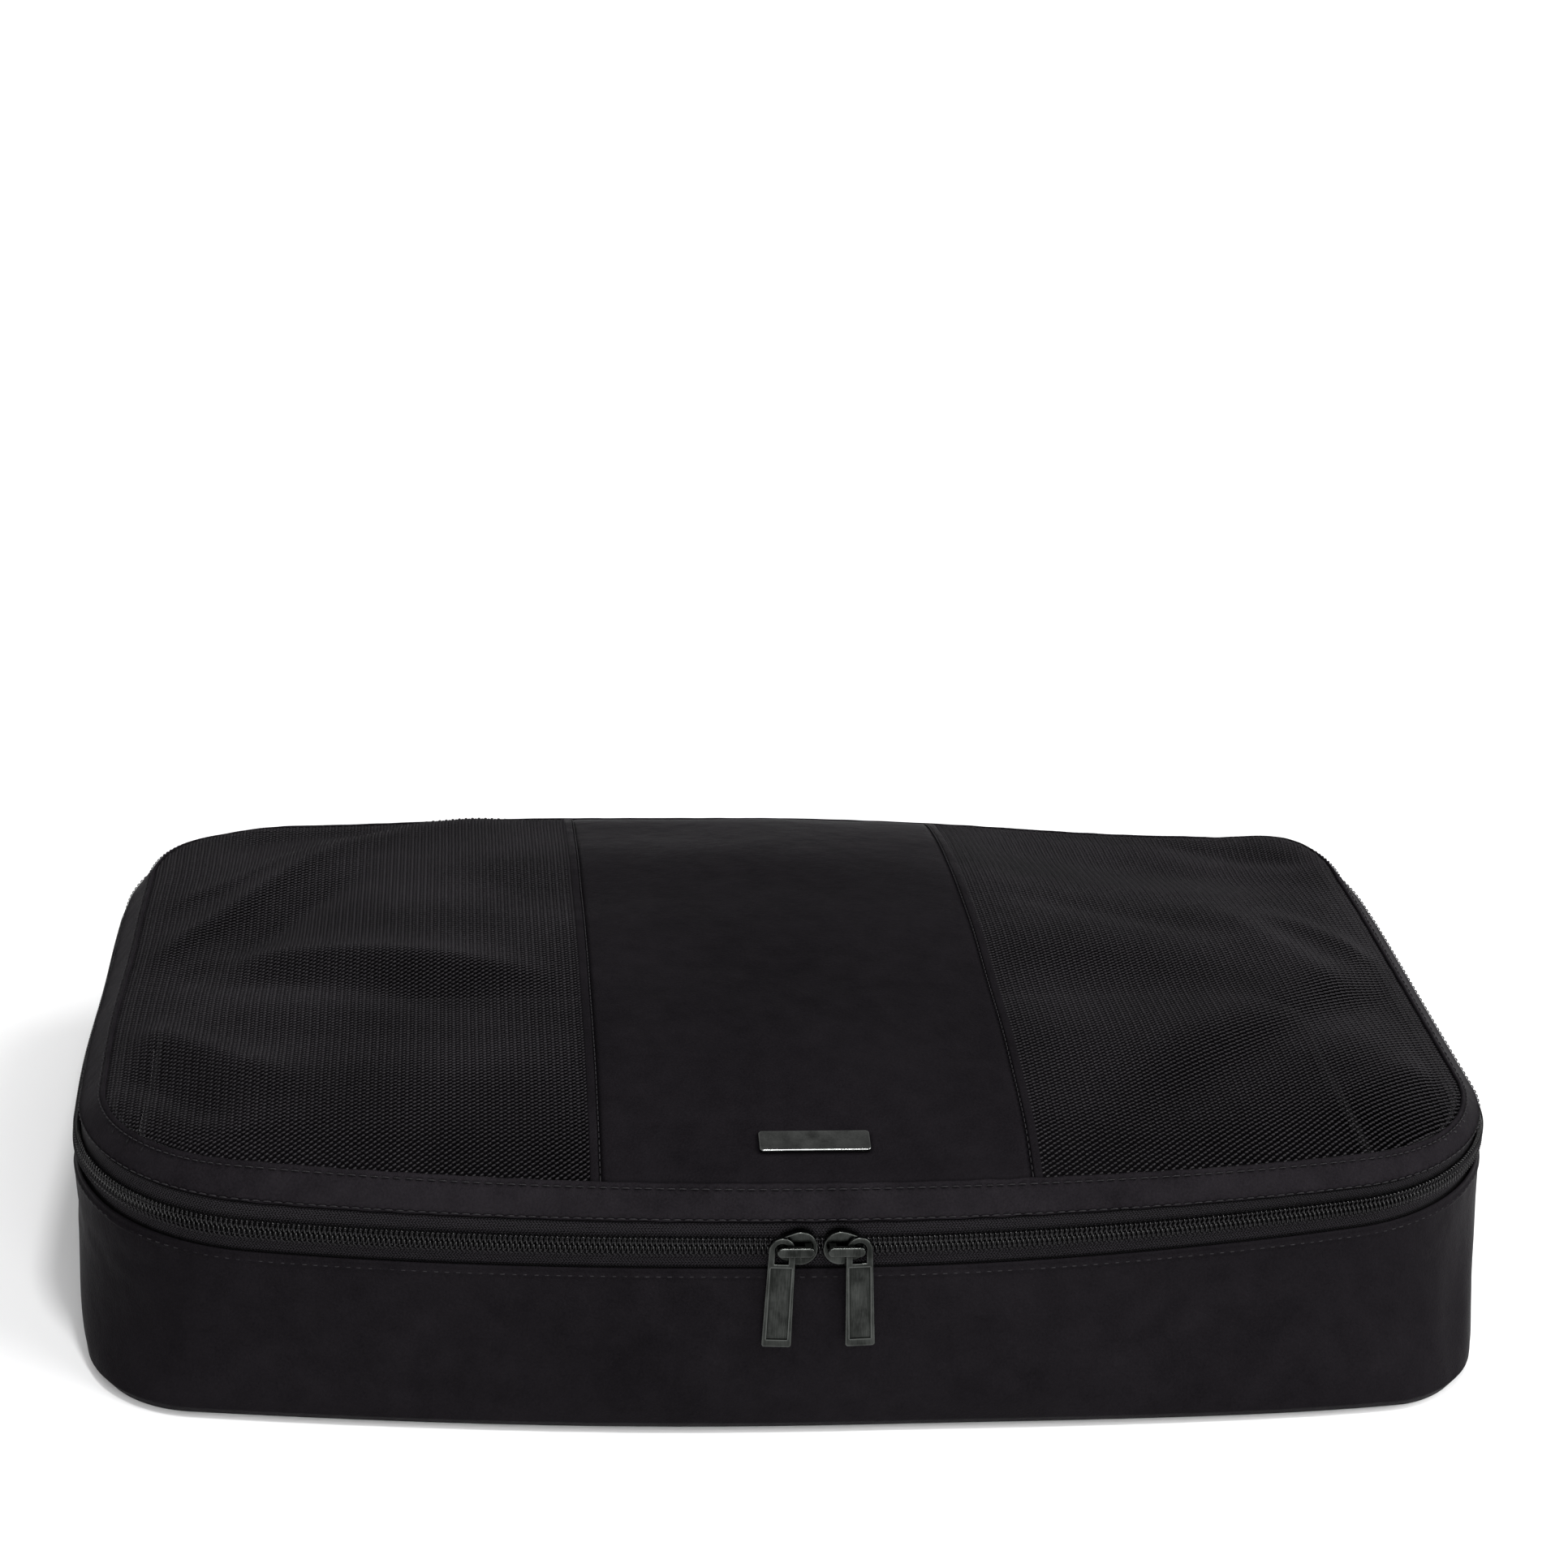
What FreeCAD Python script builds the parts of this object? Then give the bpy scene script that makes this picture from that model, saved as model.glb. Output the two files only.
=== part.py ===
import FreeCAD, Part
import math
import os
import Sketcher

# Packing cube: a soft zipped box with a lid. Millimetres, +Z up, +X to the right seen from
# the front, the front faces -Y. The origin is the middle of the face that it stands on.

DOC = FreeCAD.newDocument("PackingCube")
V = FreeCAD.Vector
UP = V(0, 0, 1)

# ---------------------------------------------------------------- driving dimensions

SIZES = {
    # overall, measured at the zip
    "width": 440.0,
    "depth": 300.0,
    "front_radius": 800.0,
    "corner": 70.0,
    # cloth thickness, seams included, the gap between moving pieces and the slit at a seam
    "cloth": 1.2,
    "gap": 0.3,
    "slit": 0.1,
    # the wall: height, inset from the outline at the zip, corner radius and front bow
    "floor_inset": 7.0,
    "floor_corner": 32.0,
    "floor_bow": 1500.0,
    "tuck_height": 5.0,
    "tuck_inset": 2.0,
    "tuck_corner": 42.0,
    "tuck_bow": 1400.0,
    "belly_height": 29.0,
    "belly_inset": -1.0,
    "belly_corner": 60.0,
    "belly_bow": 880.0,
    "hem_height": 57.0,
    # the zip
    "zip_height": 64.0,
    "zip_inset": 2.7,
    "zip_lean": 5.0,
    "tape_thickness": 0.5,
    "tape_tuck": 4.0,
    "tape_edge": 0.75,
    "coil_edge": 0.7,
    "coil_width": 2.25,
    "coil_thickness": 2.0,
    # the lid
    "rim_low_height": 71.2,
    "rim_low_inset": 2.0,
    "rim_top_height": 79.8,
    "rim_top_inset": 10.5,
    "rim_top_corner": 49.0,
    "crown": 16.5,
    "crown_power": 2.8,
    "centre_half_width": 63.5,
    "panel_hem": 3.0,
    # inside bindings
    "binding_width": 6.0,
    "binding_thickness": 1.0,
    # the fabric hinge, along the straight middle of the back
    "hinge_half": 139.0,
    "hinge_clearing": 28.0,
    # the blank plate on the lid
    "badge_length": 33.0,
    "badge_width": 8.5,
    "badge_thickness": 1.0,
    "badge_corner": 1.2,
    "badge_from_front": 26.5,
    "backing_margin": 3.0,
    "backing_thickness": 0.6,
    # the slider, in its own frame: along the zip, across it, and out from it
    "slider_shoulder_radius": 5.15,
    "slider_tail_radius": 4.0,
    "slider_shoulder_at": 1.05,
    "slider_tail_at": 2.2,
    "plate_thickness": 0.9,
    "outer_plate_at": 2.55,
    "inner_plate_at": -1.45,
    "flange_foot_at": 0.55,
    "channel_half": 3.25,
    "post_start": 1.5,
    "post_length": 3.5,
    "post_width": 0.8,
    "slider_spacing": 13.8,
    # the slider's bridge
    "bridge_at": 5.35,
    "bridge_thickness": 1.4,
    "bridge_half_length": 5.5,
    "bridge_half_width": 1.5,
    "bridge_shift": -0.4,
    "tail_foot_at": 4.3,
    "tail_foot_radius": 1.1,
    "shoulder_foot_at": 3.4,
    "shoulder_foot_length": 2.0,
    "shoulder_foot_width": 2.4,
    # the pull tab, hung round the tail foot
    "pull_at": 3.75,
    "pull_thickness": 1.3,
    "pull_loop_radius": 3.9,
    "pull_foot_half_width": 4.4,
    "pull_drop": 30.4,
    "pull_corner": 0.9,
    "window_half_width": 2.0,
    "window_drop": 4.2,
    "field_top": 5.4,
    "field_bottom": 28.0,
    "field_half_width": 3.1,
    "field_depth": 0.4,
    "pull_splay": 2.0,
    "edge_round": 0.35,
}

SHEET = DOC.addObject("Spreadsheet::Sheet", "Sizes")
for row, (alias, number) in enumerate(SIZES.items(), start=1):
    SHEET.set(f"A{row}", alias)
    SHEET.set(f"B{row}", str(number))
    SHEET.setAlias(f"B{row}", alias)
DOC.recompute()

PARTS = []


def value(expression):
    """The number that an expression of the sheet's cells comes to."""
    return float(SHEET.evalExpression(expression))


def keep(item, label):
    """Name a finished piece of the cube and put it on the list to export."""
    item.Label = label
    PARTS.append(item)
    return item


# ---------------------------------------------------------------- sketches

def new_body(name):
    return DOC.addObject("PartDesign::Body", name)


def plane(body, role):
    return next(feature for feature in body.Origin.OriginFeatures if feature.Role == role)


def new_sketch(body, name, role, offset="0"):
    """An empty sketch on one of the body's own planes, moved along the plane's normal."""
    sketch = body.newObject("Sketcher::SketchObject", name)
    sketch.AttachmentSupport = [(plane(body, role), "")]
    sketch.MapMode = "FlatFace"
    sketch.setExpression("AttachmentOffset.Base.z", offset)
    return sketch


def bind(sketch, constraint, name, expression):
    """Add a size to a sketch and tie it to the sheet."""
    index = sketch.addConstraint(constraint)
    sketch.renameConstraint(index, name)
    sketch.setExpression(f"Constraints.{name}", expression)


def arc(sketch, centre, radius, start, end):
    circle = Part.Circle(V(centre[0], centre[1], 0), UP, radius)
    return sketch.addGeometry(Part.ArcOfCircle(circle, start, end))


def line(sketch, start, end):
    return sketch.addGeometry(Part.LineSegment(V(start[0], start[1], 0), V(end[0], end[1], 0)))


def join(sketch, loop, kind="Tangent"):
    """Join each edge of a loop to the next one, end to start."""
    for first, second in zip(loop, loop[1:] + loop[:1]):
        sketch.addConstraint(Sketcher.Constraint(kind, first, 2, second, 1))


def plan_outline(body, name, height, inset, corner, front="Sizes.front_radius"):
    """The outline seen from above: a bowed front, straight sides and back, equal corners."""
    half = value(f"Sizes.width / 2 - ({inset})")
    back = value(f"Sizes.depth / 2 - ({inset})")
    bow = value(f"{front} - ({inset})")
    bow_centre = value(f"{front} - Sizes.depth / 2")
    radius = value(corner)
    reach = half - radius
    corner_y = bow_centre - math.sqrt((bow - radius) ** 2 - reach ** 2)
    back_y = back - radius
    swing = math.atan2(reach, bow_centre - corner_y)
    down = -math.pi / 2

    sketch = new_sketch(body, name, "XY_Plane", height)
    front_arc = arc(sketch, (0, bow_centre), bow, down - swing, down + swing)
    front_right = arc(sketch, (reach, corner_y), radius, down + swing, 0)
    right = line(sketch, (half, corner_y), (half, back_y))
    back_right = arc(sketch, (reach, back_y), radius, 0, math.pi / 2)
    rear = line(sketch, (reach, back), (-reach, back))
    back_left = arc(sketch, (-reach, back_y), radius, math.pi / 2, math.pi)
    left = line(sketch, (-half, back_y), (-half, corner_y))
    front_left = arc(sketch, (-reach, corner_y), radius, math.pi, 3 * math.pi / 2 - swing)
    join(sketch, [front_arc, front_right, right, back_right, rear, back_left, left, front_left])

    sketch.addConstraint(Sketcher.Constraint("Vertical", right))
    sketch.addConstraint(Sketcher.Constraint("Vertical", left))
    sketch.addConstraint(Sketcher.Constraint("Horizontal", rear))
    sketch.addConstraint(Sketcher.Constraint("Equal", front_right, front_left))
    sketch.addConstraint(Sketcher.Constraint("Equal", back_right, back_left))
    sketch.addConstraint(Sketcher.Constraint("PointOnObject", front_arc, 3, -2))
    bind(sketch, Sketcher.Constraint("Radius", front_arc, bow), "bow", f"{front} - ({inset})")
    bind(sketch, Sketcher.Constraint("DistanceY", -1, 1, front_arc, 3, bow_centre),
         "bow_centre", f"{front} - Sizes.depth / 2")
    bind(sketch, Sketcher.Constraint("Radius", front_right, radius), "front_corner", corner)
    bind(sketch, Sketcher.Constraint("Radius", back_right, radius), "back_corner", corner)
    bind(sketch, Sketcher.Constraint("DistanceX", -1, 1, right, 1, half), "right",
         f"Sizes.width / 2 - ({inset})")
    bind(sketch, Sketcher.Constraint("DistanceX", left, 1, -1, 1, half), "left",
         f"Sizes.width / 2 - ({inset})")
    bind(sketch, Sketcher.Constraint("DistanceY", -1, 1, rear, 1, back), "back",
         f"Sizes.depth / 2 - ({inset})")
    return sketch


def rectangle(sketch, left, right, low, high):
    """A rectangle between four distances, each an expression measured from the origin."""
    xs = (value(left), value(right))
    ys = (value(low), value(high))
    bottom = line(sketch, (xs[0], ys[0]), (xs[1], ys[0]))
    east = line(sketch, (xs[1], ys[0]), (xs[1], ys[1]))
    top = line(sketch, (xs[1], ys[1]), (xs[0], ys[1]))
    west = line(sketch, (xs[0], ys[1]), (xs[0], ys[0]))
    join(sketch, [bottom, east, top, west], "Coincident")
    for edge in (bottom, top):
        sketch.addConstraint(Sketcher.Constraint("Horizontal", edge))
    for edge in (east, west):
        sketch.addConstraint(Sketcher.Constraint("Vertical", edge))
    bind(sketch, Sketcher.Constraint("DistanceX", -1, 1, west, 1, xs[0]), "west", left)
    bind(sketch, Sketcher.Constraint("DistanceX", -1, 1, east, 1, xs[1]), "east", right)
    bind(sketch, Sketcher.Constraint("DistanceY", -1, 1, bottom, 1, ys[0]), "south", low)
    bind(sketch, Sketcher.Constraint("DistanceY", -1, 1, top, 1, ys[1]), "north", high)


def pad(body, sketch, length, midplane=False):
    feature = body.newObject("PartDesign::Pad", "Pad")
    feature.Profile = sketch
    feature.setExpression("Length", length)
    feature.Midplane = midplane
    return feature


def pocket(body, sketch, length, both_ways=False, flipped=False):
    feature = body.newObject("PartDesign::Pocket", "Pocket")
    feature.Profile = sketch
    feature.setExpression("Length", length)
    feature.Midplane = both_ways
    feature.Reversed = flipped
    return feature


def round_edges(body, radius, chosen):
    """Round the edges of the body's last feature that the test picks."""
    DOC.recompute()
    base = body.Tip
    names = [f"Edge{number}" for number, edge in enumerate(base.Shape.Edges, start=1)
             if chosen(edge)]
    fillet = body.newObject("PartDesign::Fillet", "Round")
    fillet.Base = (base, names)
    fillet.setExpression("Radius", radius)
    return fillet


# ---------------------------------------------------------------- cloth shells

def loft(body, kind, sketches):
    feature = body.newObject(f"PartDesign::{kind}", kind)
    feature.Profile = sketches[0]
    feature.Sections = sketches[1:]
    feature.Ruled = True
    return feature


def shell(label, levels, thickness, open_back=False):
    """A thin ring of cloth through plan outlines at several heights.

    Each level is (height, inset, corner radius, front bow radius). An open back leaves
    out the straight middle of the rear, where the fabric hinge is.
    """
    body = new_body(label)
    outer = [plan_outline(body, f"{label}_outer{index}", *level)
             for index, level in enumerate(levels)]
    loft(body, "AdditiveLoft", outer)
    inner = [plan_outline(body, f"{label}_inner{index}", height, f"{inset} + {thickness}",
                          f"{corner} - {thickness}", front)
             for index, (height, inset, corner, front) in enumerate(levels)]
    loft(body, "SubtractiveLoft", inner)
    if open_back:
        DOC.recompute()
        whole = body.Shape.Volume
        window = new_sketch(body, f"{label}_back", "XY_Plane", levels[0][0])
        rectangle(window, "-(Sizes.hinge_half + Sizes.gap)", "Sizes.hinge_half + Sizes.gap",
                  "Sizes.depth / 2 - Sizes.hinge_clearing",
                  "Sizes.depth / 2 + Sizes.hinge_clearing")
        pocket(body, window, "4 * Sizes.zip_height", both_ways=True)
        DOC.recompute()
        if body.Shape.Volume >= whole:
            raise RuntimeError(f"{label}: the back was not cut away")
    return keep(body, label)


BOW = "Sizes.front_radius"


def zip_inset(height):
    """How far the leaning plane of the zip lies inside the outline at a height."""
    return f"Sizes.zip_inset + ({height} - Sizes.zip_height) * tan(Sizes.zip_lean)"


def zip_level(height, out):
    """A level of a ring that lies a distance out from the zip's plane."""
    inset = f"{zip_inset(height)} - ({out})"
    return (height, inset, f"Sizes.corner - ({inset})", BOW)


FLOOR = ("0", "Sizes.floor_inset", "Sizes.floor_corner", "Sizes.floor_bow")
TUCK = ("Sizes.tuck_height", "Sizes.tuck_inset", "Sizes.tuck_corner", "Sizes.tuck_bow")
BELLY = ("Sizes.belly_height", "Sizes.belly_inset", "Sizes.belly_corner", "Sizes.belly_bow")
HEM = ("Sizes.hem_height", "0", "Sizes.corner", BOW)
RIM_LOW = ("Sizes.rim_low_height", "Sizes.rim_low_inset",
           "Sizes.corner - Sizes.rim_low_inset", BOW)
RIM_TOP = ("Sizes.rim_top_height", "Sizes.rim_top_inset", "Sizes.rim_top_corner", BOW)


def make_wall():
    shell("side_wall", [FLOOR, TUCK, BELLY, HEM], "Sizes.cloth", open_back=True)


def make_back_wall():
    """The wall behind the hinge: the same section as the side wall, straight across."""
    body = new_body("back_wall")
    sketch = new_sketch(body, "back_section", "YZ_Plane")
    levels = [FLOOR, TUCK, BELLY, HEM]
    outer = [(f"Sizes.depth / 2 - ({level[1]})", level[0]) for level in levels]
    inner = [(f"{y} - Sizes.cloth", height) for y, height in reversed(outer)]
    corners = outer + inner
    points = [(value(y), value(height)) for y, height in corners]
    edges = [line(sketch, start, end) for start, end in zip(points, points[1:] + points[:1])]
    join(sketch, edges, "Coincident")
    for number, (edge, (y, height)) in enumerate(zip(edges, corners)):
        bind(sketch, Sketcher.Constraint("DistanceX", -1, 1, edge, 1, value(y)),
             f"out{number}", y)
        if value(height) > 0:
            bind(sketch, Sketcher.Constraint("DistanceY", -1, 1, edge, 1, value(height)),
                 f"up{number}", height)
        else:
            sketch.addConstraint(Sketcher.Constraint("PointOnObject", edge, 1, -1))
    pad(body, sketch, "2 * Sizes.hinge_half", midplane=True)
    keep(body, "back_wall")


def make_bottom_panel():
    body = new_body("bottom_panel")
    inset = "Sizes.floor_inset + Sizes.cloth + Sizes.slit"
    sketch = plan_outline(body, "bottom_outline", "0", inset, "Sizes.floor_corner - Sizes.cloth",
                          "Sizes.floor_bow")
    pad(body, sketch, "Sizes.cloth")
    keep(body, "bottom_panel")


def make_bindings():
    """Tape over the raw seam edges, inside the base and inside the lid."""
    low = "Sizes.cloth + Sizes.gap"
    high = f"{low} + Sizes.binding_width"
    inset = "Sizes.floor_inset + Sizes.cloth + Sizes.gap"
    corner = "Sizes.floor_corner - Sizes.cloth"
    shell("bottom_seam_binding", [(height, inset, corner, "Sizes.floor_bow")
                                  for height in (low, high)], "Sizes.binding_thickness")

    top = "Sizes.rim_top_height - Sizes.cloth - Sizes.gap"
    low = f"{top} - Sizes.binding_width"
    inset = "Sizes.rim_top_inset + Sizes.cloth + Sizes.gap"
    corner = "Sizes.rim_top_corner - Sizes.cloth"
    shell("lid_seam_binding", [(height, inset, corner, BOW) for height in (low, top)],
          "Sizes.binding_thickness")


def make_zip():
    """Two woven tapes with a coil along the facing edge of each."""
    half_tape = "Sizes.tape_thickness / 2"
    lower_edge = "Sizes.zip_height - Sizes.tape_edge"
    upper_edge = "Sizes.zip_height + Sizes.tape_edge"
    foot = "Sizes.hem_height - Sizes.tape_tuck"
    top = "Sizes.rim_low_height - Sizes.slit"
    shell("lower_zip_tape", [zip_level(foot, half_tape), zip_level(lower_edge, half_tape)],
          "Sizes.tape_thickness", open_back=True)
    shell("upper_zip_tape", [zip_level(upper_edge, half_tape), zip_level(top, half_tape)],
          "Sizes.tape_thickness", open_back=True)

    face = f"{half_tape} + Sizes.coil_thickness"
    near = "Sizes.coil_edge"
    far = "Sizes.coil_edge + Sizes.coil_width"
    shell("lower_coil", [zip_level(f"Sizes.zip_height - ({far})", face),
                         zip_level(f"Sizes.zip_height - ({near})", face)],
          "Sizes.coil_thickness", open_back=True)
    shell("upper_coil", [zip_level(f"Sizes.zip_height + {near}", face),
                         zip_level(f"Sizes.zip_height + {far}", face)],
          "Sizes.coil_thickness", open_back=True)


def make_hinge_strip(label, low, high):
    """Half of the fabric hinge, flat across the straight middle of the back."""
    body = new_body(label)
    sketch = new_sketch(body, f"{label}_section", "YZ_Plane")
    rectangle(sketch, "Sizes.depth / 2 - Sizes.cloth", "Sizes.depth / 2", low, high)
    pad(body, sketch, "2 * Sizes.hinge_half", midplane=True)
    keep(body, label)


def make_hinge():
    make_hinge_strip("base_hinge_strip", "Sizes.hem_height", "Sizes.zip_height - Sizes.gap")
    make_hinge_strip("lid_hinge_strip", "Sizes.zip_height + Sizes.gap",
                     "Sizes.rim_low_height - Sizes.gap")


# ---------------------------------------------------------------- the lid's top

def crown_height(x, y):
    """The height of the lid's padded-looking top above a point of the plan."""
    power = SIZES["crown_power"]
    across = abs(x) / (value("Sizes.width / 2 - Sizes.rim_top_inset"))
    along = abs(y) / (value("Sizes.depth / 2 - Sizes.rim_top_inset"))
    rise = SIZES["crown"] * (1 - across ** power) * (1 - along ** power)
    return SIZES["rim_top_height"] + rise


def crown_sheet(label, thickness, below):
    """A slab that follows the lid's crown, its top face a distance below it."""
    half_x = SIZES["width"] / 2
    half_y = SIZES["depth"] / 2
    columns = 24
    rows = 16
    grid = []
    for column in range(columns + 1):
        x = half_x * (2 * column / columns - 1)
        ys = [half_y * (2 * row / rows - 1) for row in range(rows + 1)]
        grid.append([V(x, y, crown_height(x, y) - below) for y in ys])
    surface = Part.BSplineSurface()
    surface.interpolate(grid)
    slab = surface.toShape().extrude(V(0, 0, -thickness))
    feature = DOC.addObject("Part::Feature", label)
    feature.Shape = Part.Solid(slab) if slab.ShapeType == "Shell" else slab
    feature.Placement = FreeCAD.Placement()
    return feature


def block(label, x, y, width, depth):
    """A tall block over the lid's top, to cut one panel out of the crown."""
    box = DOC.addObject("Part::Box", label)
    box.setExpression("Length", width)
    box.setExpression("Width", depth)
    box.setExpression("Height", "2 * Sizes.rim_top_height")
    box.setExpression("Placement.Base.x", x)
    box.setExpression("Placement.Base.y", y)
    return box


def common(label, base, tool):
    feature = DOC.addObject("Part::Common", label)
    feature.Base = base
    feature.Tool = tool
    return feature


def make_top():
    """The centre panel, its two folded hems and the two mesh panels, cut from one crown."""
    sheet = crown_sheet("crown", SIZES["cloth"], 0)
    prism = new_body("top_outline_prism")
    outline = plan_outline(prism, "top_outline", "Sizes.zip_height",
                           "Sizes.rim_top_inset + Sizes.cloth + Sizes.slit",
                           "Sizes.rim_top_corner - Sizes.cloth")
    pad(prism, outline, "Sizes.zip_height")
    top = common("lid_top", sheet, prism)

    far = "Sizes.width"
    deep = "Sizes.depth"
    inner = "Sizes.centre_half_width"
    hem = "Sizes.panel_hem"
    slit = "Sizes.slit"
    spans = {
        "centre_panel": (f"-{inner}", f"2 * {inner}"),
        "left_panel_hem": (f"-{inner} - {hem}", f"{hem} - {slit}"),
        "right_panel_hem": (f"{inner} + {slit}", f"{hem} - {slit}"),
        "left_mesh_panel": (f"-{far}", f"{far} - {inner} - {hem} - {slit}"),
        "right_mesh_panel": (f"{inner} + {hem} + {slit}", far),
    }
    for label, (x, width) in spans.items():
        slice_of = block(f"{label}_block", x, "-Sizes.depth / 2", width, deep)
        keep(common(label, top, slice_of), label)


def make_badge():
    """A plain blank plate near the front of the lid, and the patch behind the cloth."""
    y = -(SIZES["depth"] / 2 - SIZES["badge_from_front"])
    slope = (crown_height(0, y + 1) - crown_height(0, y - 1)) / 2
    tilt = FreeCAD.Rotation(V(1, 0, 0), math.degrees(math.atan(slope)))
    length = "Sizes.badge_length"
    width = "Sizes.badge_width"

    plate = new_body("badge_plate")
    sketch = new_sketch(plate, "badge_outline", "XY_Plane")
    rectangle(sketch, f"-{length} / 2", f"{length} / 2", f"-{width} / 2", f"{width} / 2")
    pad(plate, sketch, "Sizes.badge_thickness")
    round_edges(plate, "Sizes.badge_corner",
                lambda edge: abs(edge.tangentAt(edge.FirstParameter).z) > 0.9)
    round_edges(plate, "Sizes.edge_round",
                lambda edge: edge.CenterOfMass.z > 0.99 * SIZES["badge_thickness"])
    plate.Placement = FreeCAD.Placement(V(0, y, crown_height(0, y) + SIZES["slit"]), tilt)
    keep(plate, "badge_plate")

    patch = new_body("badge_backing")
    sketch = new_sketch(patch, "backing_outline", "XY_Plane")
    margin = "Sizes.backing_margin"
    rectangle(sketch, f"-{length} / 2 - {margin}", f"{length} / 2 + {margin}",
              f"-{width} / 2 - {margin}", f"{width} / 2 + {margin}")
    pad(patch, sketch, "Sizes.backing_thickness")
    drop = SIZES["cloth"] + SIZES["backing_thickness"] + SIZES["gap"]
    patch.Placement = FreeCAD.Placement(V(0, y, crown_height(0, y) - drop), tilt)
    keep(patch, "badge_backing")


# ---------------------------------------------------------------- sliders and pull tabs

def egg(sketch, shrink="0"):
    """The slider plate's outline: a wide shoulder end and a narrower tail end."""
    big = value(f"Sizes.slider_shoulder_radius - ({shrink})")
    small = value(f"Sizes.slider_tail_radius - ({shrink})")
    shoulder = value("Sizes.slider_shoulder_at")
    tail = value("Sizes.slider_tail_at")
    lean = math.acos((big - small) / (shoulder + tail))
    side = (math.cos(math.pi - lean), math.sin(math.pi - lean))
    big_top = (shoulder + big * side[0], big * side[1])
    small_top = (-tail + small * side[0], small * side[1])
    front = arc(sketch, (shoulder, 0), big, lean - math.pi, math.pi - lean)
    upper = line(sketch, big_top, small_top)
    rear = arc(sketch, (-tail, 0), small, math.pi - lean, math.pi + lean)
    lower = line(sketch, (small_top[0], -small_top[1]), (big_top[0], -big_top[1]))
    join(sketch, [front, upper, rear, lower])
    sketch.addConstraint(Sketcher.Constraint("PointOnObject", front, 3, -1))
    sketch.addConstraint(Sketcher.Constraint("PointOnObject", rear, 3, -1))
    bind(sketch, Sketcher.Constraint("Radius", front, big), "shoulder_radius",
         f"Sizes.slider_shoulder_radius - ({shrink})")
    bind(sketch, Sketcher.Constraint("Radius", rear, small), "tail_radius",
         f"Sizes.slider_tail_radius - ({shrink})")
    bind(sketch, Sketcher.Constraint("DistanceX", -1, 1, front, 3, shoulder), "shoulder_at",
         "Sizes.slider_shoulder_at")
    bind(sketch, Sketcher.Constraint("DistanceX", rear, 3, -1, 1, tail), "tail_at",
         "Sizes.slider_tail_at")


def facing_out(edge, height):
    """Whether an edge lies in the face that is a height out from the zip."""
    return all(abs(-vertex.Point.y - height) < 0.01 for vertex in edge.Vertexes)


def make_slider_body(label):
    """Two plates joined by the post at the shoulder, with flanges that hold the tapes in."""
    body = new_body(label)
    sketch = new_sketch(body, f"{label}_flange", "XZ_Plane", "Sizes.flange_foot_at")
    egg(sketch)
    pad(body, sketch, "Sizes.outer_plate_at + Sizes.plate_thickness - Sizes.flange_foot_at")
    DOC.recompute()
    solid = body.Shape.Volume
    channel = new_sketch(body, f"{label}_channel", "XZ_Plane", "Sizes.flange_foot_at")
    rectangle(channel, "-2 * Sizes.slider_shoulder_radius", "2 * Sizes.slider_shoulder_radius",
              "-Sizes.channel_half", "Sizes.channel_half")
    pocket(body, channel, "Sizes.outer_plate_at - Sizes.flange_foot_at", flipped=True)
    DOC.recompute()
    if body.Shape.Volume >= solid:
        raise RuntimeError(f"{label}: the channel was not cut")
    post = new_sketch(body, f"{label}_post", "XZ_Plane", "Sizes.inner_plate_at")
    rectangle(post, "Sizes.post_start", "Sizes.post_start + Sizes.post_length",
              "-Sizes.post_width / 2", "Sizes.post_width / 2")
    pad(body, post, "Sizes.outer_plate_at - Sizes.inner_plate_at")
    inner = new_sketch(body, f"{label}_inner_plate", "XZ_Plane", "Sizes.inner_plate_at")
    egg(inner)
    pad(body, inner, "Sizes.plate_thickness")
    face = SIZES["outer_plate_at"] + SIZES["plate_thickness"]
    round_edges(body, "Sizes.edge_round", lambda edge: facing_out(edge, face))
    return keep(body, label)


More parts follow.
